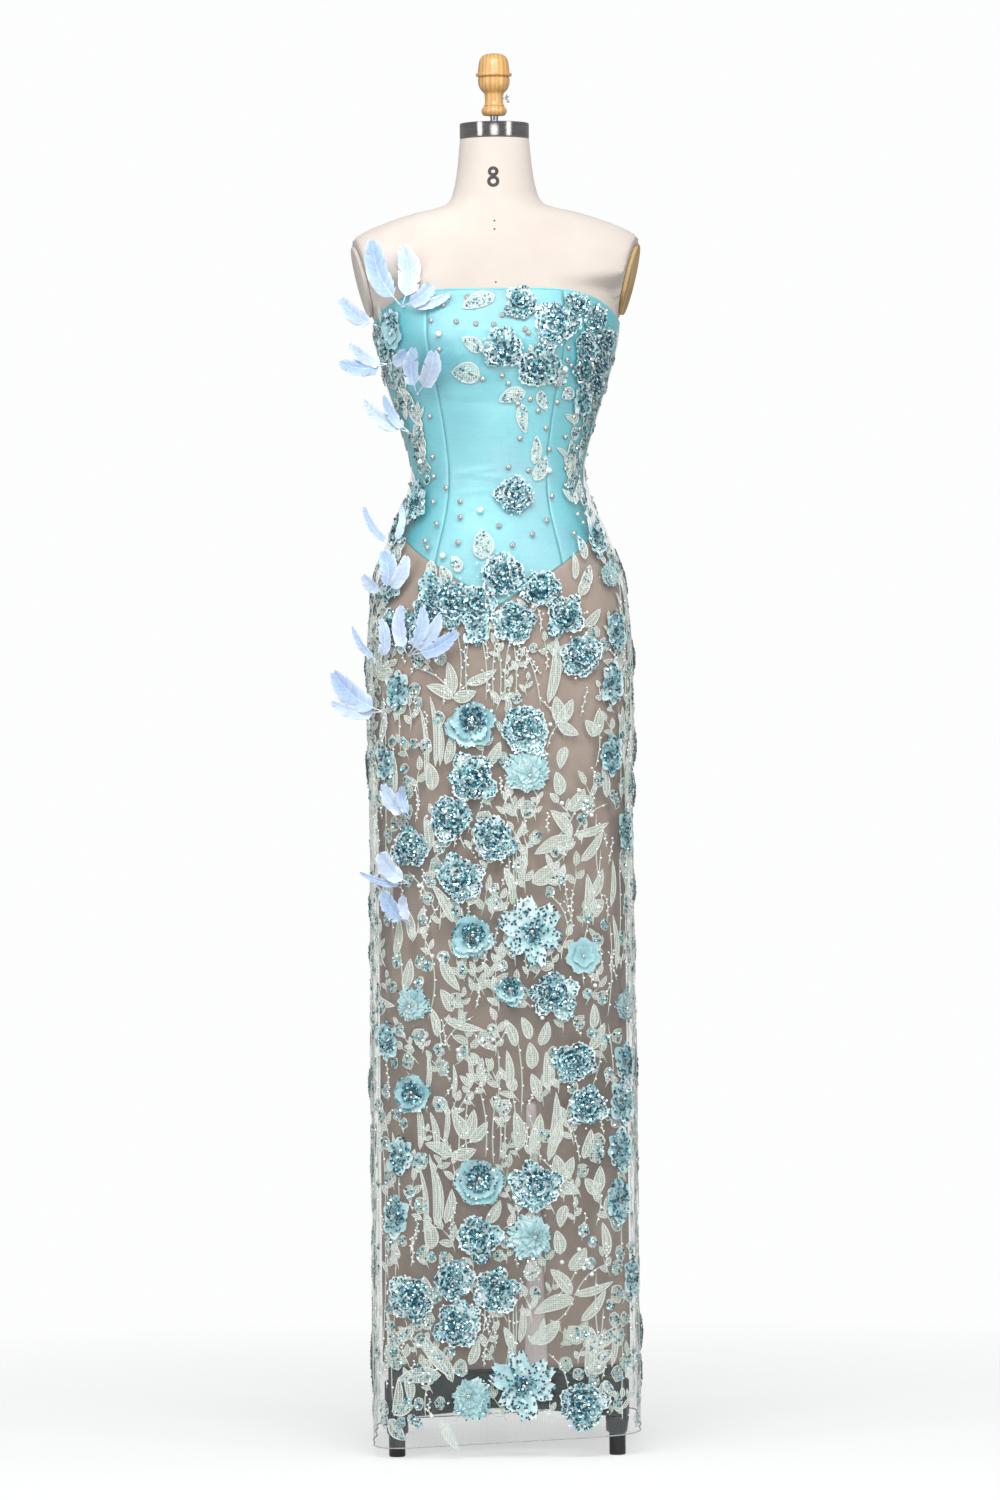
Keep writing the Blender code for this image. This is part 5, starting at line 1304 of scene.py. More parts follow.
class Lace:
    """The decoration of one side of the dress."""

    def __init__(self, side):
        skin = self.skin = lace_skins[side]
        _, self.axis, self.sign = SIDES[side]
        # The skirt's leaves, stems and berries are mirrored at the back
        self.mirror = -1 if side == "back" else 1
        relief = SIDE_RELIEF if side in ("left", "right") else 1.0
        self.thread = Batch("lace_thread_" + side, skin, THREAD, relief)
        self.net = Batch("lace_net_" + side, skin, NET, relief)
        self.organza = Batch("petals_" + side, skin, ORGANZA, relief)
        self.sequins = Batch("sequins_" + side, skin, SEQUIN, relief, smooth=False)
        self.beads = Batch("beads_" + side, skin, BEAD, relief)
        self.discs = []

    def spot(self, across, height):
        """The place round the skin of a point given in millimetres, and its height in metres."""
        height *= MM
        return self.skin.place_of(self.axis, self.sign, across * MM, height), height

    def build(self, replaced):
        self.make_discs()
        self.organza.build(replaced)
        for batch in (self.thread, self.net, self.sequins, self.beads):
            batch.build()

    # Cords and leaves

    def cord(self, path, width, rise, tone=0.6, lift=0.2 * MM, taper=0.35):
        path = np.asarray(path, dtype=float)
        count = len(path)
        along = np.gradient(path, axis=0)
        along /= np.linalg.norm(along, axis=1, keepdims=True) + 1e-12
        aside = np.stack([along[:, 1], -along[:, 0]], axis=1)
        share = np.linspace(0, 1, count)
        thick = taper + (1 - taper) * np.clip(np.minimum(share, 1 - share) * 8, 0, 1)
        corners = []
        for k, (side, up) in enumerate(((-0.5, 0.0), (0.0, 1.0), (0.5, 0.0))):
            spot = path + aside * (side * width * thick)[:, None]
            corners.append(np.column_stack([spot, lift + up * rise * thick]))
        corners = np.stack(corners, axis=1).reshape(-1, 3)
        self.thread.add(corners, grid_faces(3, count), tone)

    def stem(self, foot, turn, length, bow, width=1.7, tone=0.55, count=9):
        share = np.linspace(0, 1, count)
        turn = math.radians(turn)
        along = share * length * MM
        aside = np.sin(share * math.pi) * bow * MM
        path = np.column_stack(turned(foot, turn, aside, along))
        self.cord(path, width * MM, 0.9 * MM, tone)
        return path

    def leaf(self, foot, turn, length, width, tone=0.62, count=9):
        """A corded outline and midrib over fine net."""
        turn = math.radians(turn)
        length, width = length * MM, width * MM
        share = np.linspace(0, 1, count)
        belly = share ** 0.65 * (1 - share) ** 0.95 / 0.34 * width / 2
        sway = 0.06 * length * np.sin(math.pi * share)

        def lay(aside, along):
            return np.column_stack(turned(foot, turn, aside, along))

        right = lay(belly + sway, share * length)
        left = lay(sway - belly, share * length)
        middle = lay(sway * 0.9, share * length * 0.92)
        cord_width = (1.2 if width < 10 * MM else 1.7) * MM
        self.cord(right, cord_width, 0.9 * MM, tone + 0.15)
        self.cord(left, cord_width, 0.9 * MM, tone + 0.15)
        self.cord(middle, cord_width * 0.7, 0.7 * MM, tone + 0.25)
        corners = np.concatenate([
            np.column_stack([left, np.full(count, 0.3 * MM)]),
            np.column_stack([middle, np.full(count, 0.7 * MM)]),
            np.column_stack([right, np.full(count, 0.3 * MM)])])
        faces = []
        for strip in (0, count):
            for k in range(count - 1):
                a = strip + k
                faces.append((a, a + 1, a + count + 1, a + count))
        self.net.add(corners, faces, tone)
        if width > 9 * MM and count > 6:
            for k in range(1, count - 2, 2):
                for edge in (left, right):
                    self.cord(np.linspace(middle[k], edge[k + 1], 3), cord_width * 0.45, 0.5 * MM, tone)

    def sequin_leaf(self, foot, turn, length, width):
        """Pale sequins sewn over a leaf."""
        turn = math.radians(turn)
        for _ in range(int(length * width / 26)):
            share, side = rng.uniform(0.12, 0.9), rng.uniform(-0.85, 0.85)
            along = share * length * MM
            aside = side * width * MM / 2 * math.sin(math.pi * share ** 0.85)
            self.disc(*turned(foot, turn, aside, along), rng.uniform(1.0, 1.6) * MM,
                      rng.uniform(1.0, 1.5) * MM, self.sequin_tone(0.05), 0.3)

    # Beads and sequins

    def dome(self, place, height, radius, tone, lift=0.2 * MM, sides=8, flat=1.0):
        corners = []
        for reach, rise in DOME_RINGS:
            corners += circle((place, height), radius * reach, lift + radius * rise * flat, sides)
        corners.append((place, height, lift + radius * flat))
        faces = grid_faces(sides, 3, closed=True)
        faces += [(2 * sides + k, 2 * sides + (k + 1) % sides, 3 * sides) for k in range(sides)]
        self.beads.add(corners, faces, tone)

    def crystal(self, place, height, radius):
        """A stone in a round setting. Its pale middle dome is a painted highlight of the stone."""
        self.dome(place, height, radius, 0.22, flat=0.35)
        self.dome(place, height, radius * 0.68, 0.62, lift=0.2 * MM + radius * 0.22, sides=6, flat=0.5)
        self.dome(place, height, radius * 0.34, 0.0, lift=0.2 * MM + radius * 0.55, sides=6, flat=0.9)

    def disc(self, place, height, lift, radius, tone, tilt=0.35):
        self.discs.append((place, height, lift, radius, tone, rng.normal(0, tilt), rng.normal(0, tilt)))

    def make_discs(self):
        """Hexagonal sequins, each spun and tilted its own way."""
        rows = np.array(self.discs)
        spin = rng.uniform(0, math.pi / 3, len(rows))
        turns = np.arange(6)[None, :] * math.pi / 3 + spin[:, None]
        c, s = np.cos(turns), np.sin(turns)
        place, height, lift, radius, tone, lean_x, lean_z = (rows[:, k:k + 1] for k in range(7))
        lift = np.maximum(lift + radius * (c * lean_x + s * lean_z), 0.2 * MM)
        corners = np.stack([place + radius * c, height + radius * s, lift], axis=2).reshape(-1, 3)
        faces = [tuple(range(6 * i, 6 * i + 6)) for i in range(len(rows))]
        self.sequins.add(corners, faces, np.repeat(tone, 6), np.stack([c, s], axis=2).reshape(-1, 2))

    def sequin_tone(self, darkness):
        """Dark teal by the given share, the rest mid, pale, or white; the white tones are painted glints."""
        if rng.random() < darkness:
            return rng.uniform(0.0, 0.20)
        pick = rng.random()
        if pick < 0.36:
            return rng.uniform(0.26, 0.5)
        return rng.uniform(0.58, 0.8) if pick < 0.74 else rng.uniform(0.9, 1.0)

    # Flowers

    def petal(self, foot, turn, inner, outer, width, low, high, tone, cup=1.0, jag=0.0, fold=0.0):
        """One petal from a flower's middle outward, cupped across and raised towards its rim."""
        rows, columns = 4, 5
        corners = []
        tones = []
        for r in range(rows):
            share = r / (rows - 1)
            reach = mix(inner, outer, share)
            half = width / 2 * math.sin(math.pi * (0.28 + 0.50 * share)) * (1.0 if share < 1 else 0.86)
            for c in range(columns):
                side = c / (columns - 1) * 2 - 1
                along = reach * (1 - (0.10 * side * side if share == 1 else 0))
                if jag and r == rows - 1:
                    along *= 1 + jag * (1 if c % 2 else -1)
                aside = half * side
                lift = mix(low, high, share ** 0.8) + cup * MM * side * side * share
                lift += fold * MM * (1 if c % 2 else -1) * share
                corners.append((*turned(foot, turn, aside, along), max(lift, 0.3 * MM)))
                tones.append(tone + 0.22 * share - 0.1 * (1 - abs(side)))
        self.organza.add(corners, grid_faces(columns, rows), tones)

    def rose(self, foot, radius):
        """Whorls of torn pale petals, edged with crescents of sequins, round a stone."""
        phase, lean = rng.uniform(0, 1), rng.uniform(0, 2 * math.pi)
        darkness = rng.uniform(0.1, 0.9)
        scale = radius / FLOWER_SIZE
        foot = (foot[0] + rng.uniform(-1.5, 1.5) * MM, foot[1] + rng.uniform(-1.5, 1.5) * MM)
        stretch = rng.uniform(0.92, 1.08)
        for number, (petals, outer, inner, low, high, rimmed) in enumerate(ROSE_WHORLS):
            for k in range(petals):
                turn = 2 * math.pi * (k + phase + 0.5 * number) / petals + rng.normal(0, 0.12)
                reach = radius * outer * rng.uniform(0.80, 1.12) * (stretch if k % 2 else 2 - stretch)
                width = 2 * math.pi * radius * outer / petals * rng.uniform(0.72, 1.05)
                up = rng.uniform(-0.4, 0.9)
                self.petal(foot, turn, radius * inner, reach, width, low * MM, (high + up) * MM,
                           rng.uniform(0.46, 0.88), cup=1.5, jag=0.035)
                half = width / 2 / max(reach, MM)
                shade = 0.5 + 0.5 * math.cos(turn - lean)
                edge = rng.random() < rimmed
                for row, (inset, count, dark) in enumerate(ROSE_ROWS):
                    if row == 0 and not edge:
                        continue
                    for side in np.linspace(-1.0, 1.0, max(2, int(count * max(scale, 0.6)))):
                        out = reach * (1 - 0.15 * side * side) - inset * MM
                        if out < radius * inner * 0.8 or rng.random() < 0.10:
                            continue
                        place, height = polar(foot, out, turn + side * half)
                        lift = mix(low, high + up, 0.9 - 0.16 * row) + 1.5 * side * side + 0.6
                        tone = self.sequin_tone(dark * mix(0.35, 1.15, shade) * mix(0.7, 1.3, darkness))
                        self.disc(place, height, lift * MM, rng.uniform(1.2, 1.9) * MM, tone, 0.42)
        self.heart(foot, radius * 0.3, int(ROSE_HEART * scale * scale), (6.4, 7.6), 1.5, 0.4, 0.45)
        for _ in range(int(ROSE_BEADS * scale)):
            place, height = polar(foot, radius * rng.uniform(0.5, 1.12), rng.uniform(0, 2 * math.pi))
            self.dome(place, height, rng.uniform(1.2, 2.0) * MM, 1.0, lift=3.2 * MM, sides=6)
        self.crystal_on(foot, 6.6 * MM, 2.4 * MM)

    def heart(self, foot, reach, count, lifts, size, darkness, tilt):
        """Loose sequins over a flower's middle, between two lifts in millimetres."""
        for _ in range(count):
            place, height = polar(foot, reach * math.sqrt(rng.random()), rng.uniform(0, 2 * math.pi))
            self.disc(place, height, rng.uniform(*lifts) * MM, size * MM, self.sequin_tone(darkness), tilt)

    def crystal_on(self, foot, lift, radius):
        self.dome(foot[0], foot[1], radius, 0.8, lift=lift, flat=0.6)
        self.dome(foot[0], foot[1], radius * 0.5, 0.1, lift=lift + radius * 0.4, sides=6, flat=0.8)

    def cup(self, foot, radius):
        """Broad pale petals cupped round a dark sequined heart."""
        phase = rng.uniform(0, 1)
        heart = (foot[0] + 0.06 * radius, foot[1] + 0.12 * radius)
        for number, (petals, outer, high) in enumerate(CUP_WHORLS):
            for k in range(petals):
                turn = 2 * math.pi * (k + phase + 0.5 * number) / petals + rng.normal(0, 0.1)
                reach = radius * outer * rng.uniform(0.84, 1.12)
                self.petal(foot, turn, radius * 0.3, reach, radius * outer * rng.uniform(0.85, 1.1),
                           1.0 * MM, high * MM, rng.uniform(0.14, 0.50), cup=1.8, jag=0.03)
                for side in np.linspace(-0.42, 0.42, 7):
                    if rng.random() < 0.8:
                        place, height = polar(foot, reach * (0.96 - 0.4 * side * side), turn + side)
                        self.disc(place, height, (high + 0.8) * MM, 1.5 * MM, self.sequin_tone(0.12), 0.4)
        for _ in range(int(CUP_HEART * (radius / FLOWER_SIZE) ** 2)):
            share = math.sqrt(rng.random())
            turn = rng.uniform(0, 2 * math.pi)
            place, height = polar(heart, radius * 0.58 * share, turn)
            self.disc(place, height, (mix(6.4, 4.2, share) + rng.uniform(0, 1)) * MM, 1.55 * MM,
                      self.sequin_tone(0.72 - 0.4 * (math.cos(turn) < -0.5)), 0.4)
        self.crystal_on(heart, 6.6 * MM, 2.2 * MM)

    def carnation(self, foot, radius):
        """A pleated fan of pale silk with a torn edge, fuller on one side of its stone."""
        lean = rng.uniform(0, 2 * math.pi)
        for outer, count, low, high in CARNATION_WHORLS:
            phase = rng.random()
            for k in range(count):
                turn = 2 * math.pi * (k + phase) / count + rng.normal(0, 0.07)
                full = 0.82 + 0.20 * math.cos(turn - lean)
                reach = radius * outer * full * rng.uniform(0.84, 1.06)
                self.petal(foot, turn, radius * 0.08, reach, 2 * math.pi * reach / count * 1.5,
                           low * MM, high * MM, 0.30 + rng.uniform(-0.12, 0.22), cup=0.9, jag=0.05, fold=1.0)
                path = [polar(foot, reach * share, turn + 0.04) for share in (0.25, 0.6, 0.97)]
                self.cord(path, 1.1 * MM, 0.7 * MM, rng.choice((0.25, 0.85)), lift=(high + 0.2) * MM)
        for _ in range(int(radius / FLOWER_SIZE * CARNATION_EDGE)):
            turn = lean + rng.normal(0, 1.0)
            place, height = polar(foot, radius * rng.uniform(0.80, 1.10), turn)
            self.disc(place, height, 3.6 * MM, 1.4 * MM, self.sequin_tone(0.15))
        self.crystal_on(foot, 6.2 * MM, 2.2 * MM)

    def orchid(self, foot, radius):
        """Long petals, each split in two, with dark bars of sequins and pale ones between."""
        for number, (turn, reach, width) in enumerate(ORCHID_PETALS):
            turn = math.radians(turn + rng.uniform(-8, 8))
            reach, width = radius * reach, radius * width
            high = 5.4 if number % 2 else 3.2
            for split in (-0.24, 0.24):
                aim = turn + split * width / reach
                self.petal(foot, aim, radius * 0.10, reach * rng.uniform(0.92, 1.06), width * 0.68, 1.2 * MM,
                           high * MM, rng.uniform(0.36, 0.66), cup=1.4, jag=0.05)
            for _ in range(ORCHID_BARS):
                share, side = rng.uniform(0.22, 0.98), rng.uniform(-0.95, 0.95)
                half = width * 0.56 * math.sin(math.pi * (0.28 + 0.50 * share)) * side
                along = reach * share
                bar = abs(side) < 0.28 or abs(abs(side) - 0.62) < 0.14
                if not bar and share < 0.7 and rng.random() < 0.6:
                    continue
                self.disc(*turned(foot, turn, half, along), (mix(2.2, high, share) + 1.3) * MM,
                          rng.uniform(1.2, 1.8) * MM, self.sequin_tone(0.85 if bar else 0.15), 0.4)
        self.heart(foot, radius * 0.26, ORCHID_HEART, (5.2, 6.6), 1.6, 0.6, 0.4)
        self.crystal_on(foot, 6.2 * MM, 2.4 * MM)

    def fan(self, foot, radius):
        """Pale petals without sequins."""
        for number, (outer, count, low, high) in enumerate(FAN_WHORLS):
            for k in range(count):
                turn = 2 * math.pi * (k + 0.5 * number) / count
                self.petal(foot, turn, radius * 0.1, radius * outer, radius * outer * 0.95, low * MM,
                           high * MM, 0.32, cup=0.8, jag=0.03)
        self.crystal_on(foot, 4.4 * MM, 2.0 * MM)

    def strip(self, foot, radius):
        """A rose seen from its side at an edge of the dress: taller than wide, packed with sequins."""
        for k in range(8):
            turn = 2 * math.pi * (k + rng.uniform(-0.2, 0.2)) / 8
            reach = radius * (0.92 + 0.46 * abs(math.cos(turn))) * rng.uniform(0.85, 1.12)
            self.petal(foot, turn, radius * 0.2, reach, radius * rng.uniform(0.7, 1.0), 0.8 * MM, 3.2 * MM,
                       rng.uniform(0.3, 0.65), cup=1.2)
        phase = rng.uniform(0, 6)
        for _ in range(int(STRIP_SEQUINS * (radius / STRIP_SIZE) ** 2)):
            share = math.sqrt(rng.random())
            turn = rng.uniform(0, 2 * math.pi)
            dark = 0.38 + 0.34 * math.sin(2 * turn + 5 * share + phase)
            place = foot[0] + share * radius * 0.82 * math.sin(turn)
            height = foot[1] + share * radius * 1.34 * math.cos(turn)
            self.disc(place, height, (mix(5.2, 2.6, share) + rng.uniform(0, 1)) * MM,
                      rng.uniform(1.3, 1.8) * MM, self.sequin_tone(dark), 0.42)

    # Small lace between the flowers

    def sprig(self, foot, turn, length, tone):
        """A twig with a pair of small leaves and one at its end."""
        path = self.stem(foot, turn, length, rng.uniform(-3, 3), 1.5, tone, 5)
        for share, lean in ((1, -48), (2, 44), (4, 0)):
            self.leaf(path[share], turn + lean + rng.uniform(-8, 8), length * rng.uniform(0.5, 0.7),
                      length * rng.uniform(0.20, 0.30), tone, 5)

    def reed(self, foot, turn, length, tone):
        """A twig hung with beads."""
        path = self.stem(foot, turn, length, rng.uniform(-3, 3), 1.6, tone, 7)
        for k in range(1, 7):
            place = path[k][0] + 1.5 * MM * (1 if k % 2 else -1)
            self.dome(place, path[k][1], rng.uniform(1.2, 1.7) * MM, rng.uniform(0.6, 1.0), sides=6)

    def scatter(self, foot, reach, count, darkness):
        """Loose sequins and beads sewn over a scrap of net."""
        scale = rng.uniform(0.8, 1.2, 9)
        turns = np.arange(9) * 2 * math.pi / 9
        rim = np.column_stack([foot[0] + reach * scale * np.sin(turns),
                               foot[1] + reach * 1.2 * scale * np.cos(turns)])
        corners = np.column_stack([np.vstack([rim, [foot]]), np.full(10, 0.35 * MM)])
        self.net.add(corners, [(k, (k + 1) % 9, 9) for k in range(9)], rng.uniform(0.4, 0.8))
        self.cord(np.vstack([rim, rim[:1]]), 1.5 * MM, 0.8 * MM, rng.uniform(0.5, 0.8), taper=1.0)
        for _ in range(count):
            out = reach * math.sqrt(rng.random())
            turn = rng.uniform(0, 2 * math.pi)
            self.disc(*polar(foot, out, turn), rng.uniform(0.9, 1.8) * MM, rng.uniform(1.2, 1.7) * MM,
                      self.sequin_tone(darkness), 0.3)

    def flower(self, kind, across, height, radius):
        getattr(self, kind)(self.spot(across, height), radius * MM)


def repeats(rows, side):
    """The rows of one repeat and of those above and below it that fall on the skirt."""
    for copy in (0, 1, 2):
        for row in rows:
            across, height = row[0] + copy * REPEAT_SHIFT, row[1] - copy * REPEAT_DROP
            if side != "front":
                height += HIDDEN_RISE
            fits = abs(across) < LACE_REACH[side] and SKIRT_LOW < height < SKIRT_HIGH
            doubled = copy and height > REPEAT_TOP
            if fits and not doubled:
                yield (across, height) + tuple(row[2:])


def fill_lace(lace, side):
    """Sprigs, beaded reeds and scraps of net between the flowers of the skirt."""
    taken = [row[1:] for row in FLOWERS[side]]
    for across, height, turn, length, wide in repeats(SKIRT_LEAVES + SKIRT_STEMS, side):
        for share in (0.25, 0.75):
            spot = polar((across * lace.mirror, height), share * length, math.radians(turn))
            taken.append((*spot, 4 + abs(wide) / 2))
    step, reach = FILL_STEP[side], LACE_REACH[side]
    bare = BARE_SPOTS if side == "front" else ()
    for row, height in enumerate(np.arange(FILL_LOW, FILL_HIGH, step * FILL_ROW)):
        for across in np.arange(-reach + 6, reach - 4, step):
            x = across + rng.uniform(-0.35, 0.35) * step + (step / 2 if row % 2 else 0)
            z = height + rng.uniform(-0.4, 0.4) * step
            pick, tone = rng.random(), rng.uniform(0.45, 0.85)
            turn, length = rng.normal(0, 26), rng.uniform(18, 34)
            near = min(math.hypot(x - a, z - h) - r for a, h, r in taken)
            if near < 1 or abs(x) > reach or any(abs(x - a) < w and abs(z - h) < v for a, h, w, v in bare):
                continue
            foot = lace.spot(x, z)
            # The front is busier at its edges and to the left
            busy = side == "front" and not BUSY_LEFT <= x <= BUSY_RIGHT
            if pick < (0.40 if busy else 0.18):
                lace.scatter(foot, rng.uniform(5, 9.5) * MM, 16 if busy else 9, 0.16)
            elif pick < 0.70:
                lace.sprig(foot, turn, length, tone)
            elif pick < 0.94:
                lace.reed(foot, turn * 0.5, length * 1.2, tone)


def edge_lace(lace, side_sign, low, high, darkness):
    """The dense strip of lace that runs down a side of the bodice and of the hip."""
    for height in np.arange(low, high, EDGE_STEP):
        line = lace.skin.points[lace.skin.row_of(height * MM)]
        width = np.abs(line[:, 0]).max()
        for inset in EDGE_ROWS:
            across = side_sign * (width / MM - inset + rng.uniform(-4, 4))
            foot = lace.spot(across, height + rng.uniform(-4, 4))
            pick = rng.random()
            if pick < 0.50:
                lace.scatter(foot, rng.uniform(5, 8) * MM, 17, darkness)
            elif pick < 0.70:
                lace.leaf(foot, rng.normal(0, 40), rng.uniform(16, 26), rng.uniform(6, 11),
                          rng.uniform(0.6, 0.9), 5)
            elif pick < 0.85:
                lace.crystal(*foot, 3.0 * MM)


def edge_threads(lace, side_sign):
    """Stems, buds and net that run down the skirt's side, where only tulle stands behind them."""
    for inset in EDGE_INSETS:
        height = EDGE_LOW + rng.uniform(0, 30)
        while height < EDGE_HIGH:
            length = rng.uniform(46, 92)
            width = np.abs(lace.skin.points[lace.skin.row_of(height * MM)][:, 0]).max() / MM
            foot = lace.spot(side_sign * (width - inset), height)
            path = lace.stem(foot, rng.normal(0, 2.0), length, rng.uniform(-2, 2), rng.uniform(1.6, 2.6),
                             rng.uniform(0.3, 0.8), 7)
            for k in range(1, 7, 2):
                pick = rng.random()
                if pick < 0.45:
                    lace.leaf(path[k], rng.normal(0, 22), rng.uniform(16, 26), rng.uniform(4, 8),
                              rng.uniform(0.5, 0.9), 5)
                elif pick < 0.7:
                    lace.scatter(path[k], rng.uniform(3, 5) * MM, 6, 0.2)
                else:
                    lace.dome(*path[k], rng.uniform(1.2, 1.9) * MM, rng.uniform(0.5, 1.0), sides=6)
            height += length * rng.uniform(0.7, 0.95)


def make_lace(side):
    lace = Lace(side)
    for kind, across, height, radius in FLOWERS[side]:
        lace.flower(kind, across, height, radius)
    for across, height, turn, length, width in repeats(SKIRT_LEAVES, side):
        lace.leaf(lace.spot(across * lace.mirror, height), turn, length, width)
    for across, height, turn, length, bow in repeats(SKIRT_STEMS, side):
        foot = lace.spot(across * lace.mirror, height)
        path = lace.stem(foot, turn, length, bow)
        for k in range(1, len(path), 2):
            lace.dome(path[k][0] + 1.2 * MM, path[k][1], STEM_BEAD * MM, 0.9, sides=6)
    for across, height in repeats(SKIRT_BERRIES, side):
        lace.dome(*lace.spot(across * lace.mirror, height), BERRY * MM, 0.7)
    fill_lace(lace, side)
    if side == "front":
        for across, height, turn, length, width in BODICE_LEAVES + HEM_LEAVES:
            foot = lace.spot(across, height)
            lace.leaf(foot, turn, length, width, 0.85)
            lace.sequin_leaf(foot, turn, length, width)
        for across, height in CRYSTALS:
            lace.crystal(*lace.spot(across, height), CRYSTAL * MM)
        for across, height in PEARLS:
            lace.dome(*lace.spot(across, height), PEARL * MM, 1.0)
        for row in EDGE_LACE:
            edge_lace(lace, *row)
        edge_threads(lace, -1)
        edge_threads(lace, 1)
    elif side == "back":
        for across, height, turn, length, width in BODICE_LEAVES:
            if abs(across) > BACK_LEAF_CLEAR:
                lace.leaf(lace.spot(across, height - BACK_LEAF_DROP), turn, length, width, 0.75)
        for across, height in CRYSTALS:
            if abs(across) > BACK_CRYSTAL_CLEAR and height < BACK_CRYSTAL_TOP:
                lace.crystal(*lace.spot(-across, height - BACK_CRYSTAL_DROP), CRYSTAL * MM)
    lace.build(FLOWER_NODES[side])


# Feathers

def surface_of(*names):
    vertices, faces = [], []
    for name in names:
        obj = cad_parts[name]
        gather(vertices, faces, [obj.matrix_world @ v.co for v in obj.data.vertices],
               [polygon.vertices for polygon in obj.data.polygons])
    return BVHTree.FromPolygons(vertices, faces)


def drop(surface, x, z):
    """How far forward the surface reaches at a place seen from the front."""
    reached = []
    for shift in (0.0, SEAM_STEP, -SEAM_STEP):
        hit = surface.ray_cast(Vector((x + shift, -1.0, z)), Vector((0, 1, 0)))
        if hit[0] is not None:
            reached.append(hit[0].y)
    return min(reached, default=None)


def front_of(surface, point, width):
    reached = []
    for across, up in FEATHER_PROBES:
        found = drop(surface, point.x + across * width * MM, point.z + up * width * MM)
        if found is not None:
            reached.append(found)
    return min(reached, default=1.0)


def feather_path(surface, start, tip_x, tip_z, width, lift, count):
    """Stations from the quill's foot to the tip, kept in front of the cloth behind them."""
    reach = Vector((tip_x * MM, 0, tip_z * MM))
    side_way = Vector((reach.z, 0, -reach.x)).normalized()
    bend = side_way * reach.length * FEATHER_BOW * (1 if tip_x < 0 else -1)
    path = []
    for k in range(count):
        share = k / (count - 1)
        middle = start + reach * share - bend * math.sin(math.pi * share)
        middle.y -= lift * MM * share ** LIFT_CURVE
        clear = lift * MM * share ** CLEAR_CURVE + FEATHER_CLEAR
        middle.y = min(middle.y, front_of(surface, middle, width) - clear)
        path.append(middle)
    return path


def smoothed(values, times=2):
    values = np.array(values)
    for _ in range(times):
        values[1:-1] = (values[:-2] + 2 * values[1:-1] + values[2:]) / 4
    return values


def make_feather(path, width, vertices, faces, tones, pale):
    """A tapering quill between two soft vanes whose edges are split and ragged."""
    points = smoothed([tuple(p) for p in path])
    count = len(points)
    shares = np.linspace(0, 1, count)
    radii = np.interp(shares, (0, 0.15, 1), (0.9, 0.6, 0.15)) * MM
    quill, quill_faces = tube(points, radii, 5)
    gather(vertices, faces, quill, quill_faces)
    tones += [0.8] * len(quill)
    along_all = np.gradient(points, axis=0)
    along_all /= np.linalg.norm(along_all, axis=1, keepdims=True) + 1e-12
    for side in (-1, 1):
        wave_phase = rng.uniform(0, 6)
        ragged = smoothed(rng.uniform(0.82, 1.14, VANE_STATIONS), 3)
        ragged = ragged * rng.uniform(0.975, 1.02, VANE_STATIONS)
        splits = rng.random(VANE_STATIONS) < VANE_SPLIT
        rows = []
        for station in range(VANE_STATIONS):
            share = mix(VANE_FOOT, 1.0, station / (VANE_STATIONS - 1))
            foot = np.array([np.interp(share, shares, points[:, k]) for k in range(3)])
            along = np.array([np.interp(share, shares, along_all[:, k]) for k in range(3)])
            along /= np.linalg.norm(along)
            aside = np.cross(along, (0, -1, 0)) * side
            aside /= np.linalg.norm(aside) + 1e-12
            profile = math.sin(math.pi * (0.06 + share * 0.92)) ** 0.6
            reach = width * MM * VANE_HALF * profile * ragged[station]
            if splits[station]:
                reach *= rng.uniform(*SPLIT_REACH)
            sweep = math.radians(BARB_SWEEP + BARB_SWEEP_GAIN * share)
            shade = rng.uniform(-0.09, 0.09)
            row = []
            for step in VANE_STEPS:
                out = reach * step
                spot = foot + aside * out * math.cos(sweep * step) + along * out * math.sin(sweep * 0.9) * 1.1
                flutter = FLUTTER * math.sin(share * FLUTTER_TURN + wave_phase) * step
                spot[1] += VANE_CURL * out * step - VANE_TILT * out + flutter
                tone = pale + EDGE_PALER * step * step + shade + FOOT_PALER * (1 - share)
                row.append((tuple(spot), tone))
            rows.append(row)
        vane = []
        columns = len(VANE_STEPS)
        for station in range(VANE_STATIONS - 1):
            for k in range(columns - 1):
                # The outermost strip is open where the vane is split
                if k < columns - 2 or not (splits[station] or splits[station + 1]):
                    a = station * columns + k
                    vane.append((a, a + 1, a + columns + 1, a + columns))
        gather(vertices, faces, [spot for row in rows for spot, _ in row], vane)
        tones += [tone for row in rows for _, tone in row]
        # Loose barbs past the vane's edge
        for station in range(3, VANE_STATIONS, 5):
            spot, tone = rows[station][-1]
            spot, inner = np.array(spot), np.array(rows[station][-2][0])
            tip = spot + (spot - inner) * rng.uniform(0.4, 0.9)
            ahead = mix(spot, np.array(rows[station - 1][-1][0]), 0.25)
            gather(vertices, faces, (spot, ahead, tip), [(0, 1, 2)])
            tones += [tone, tone, tone + 0.12]


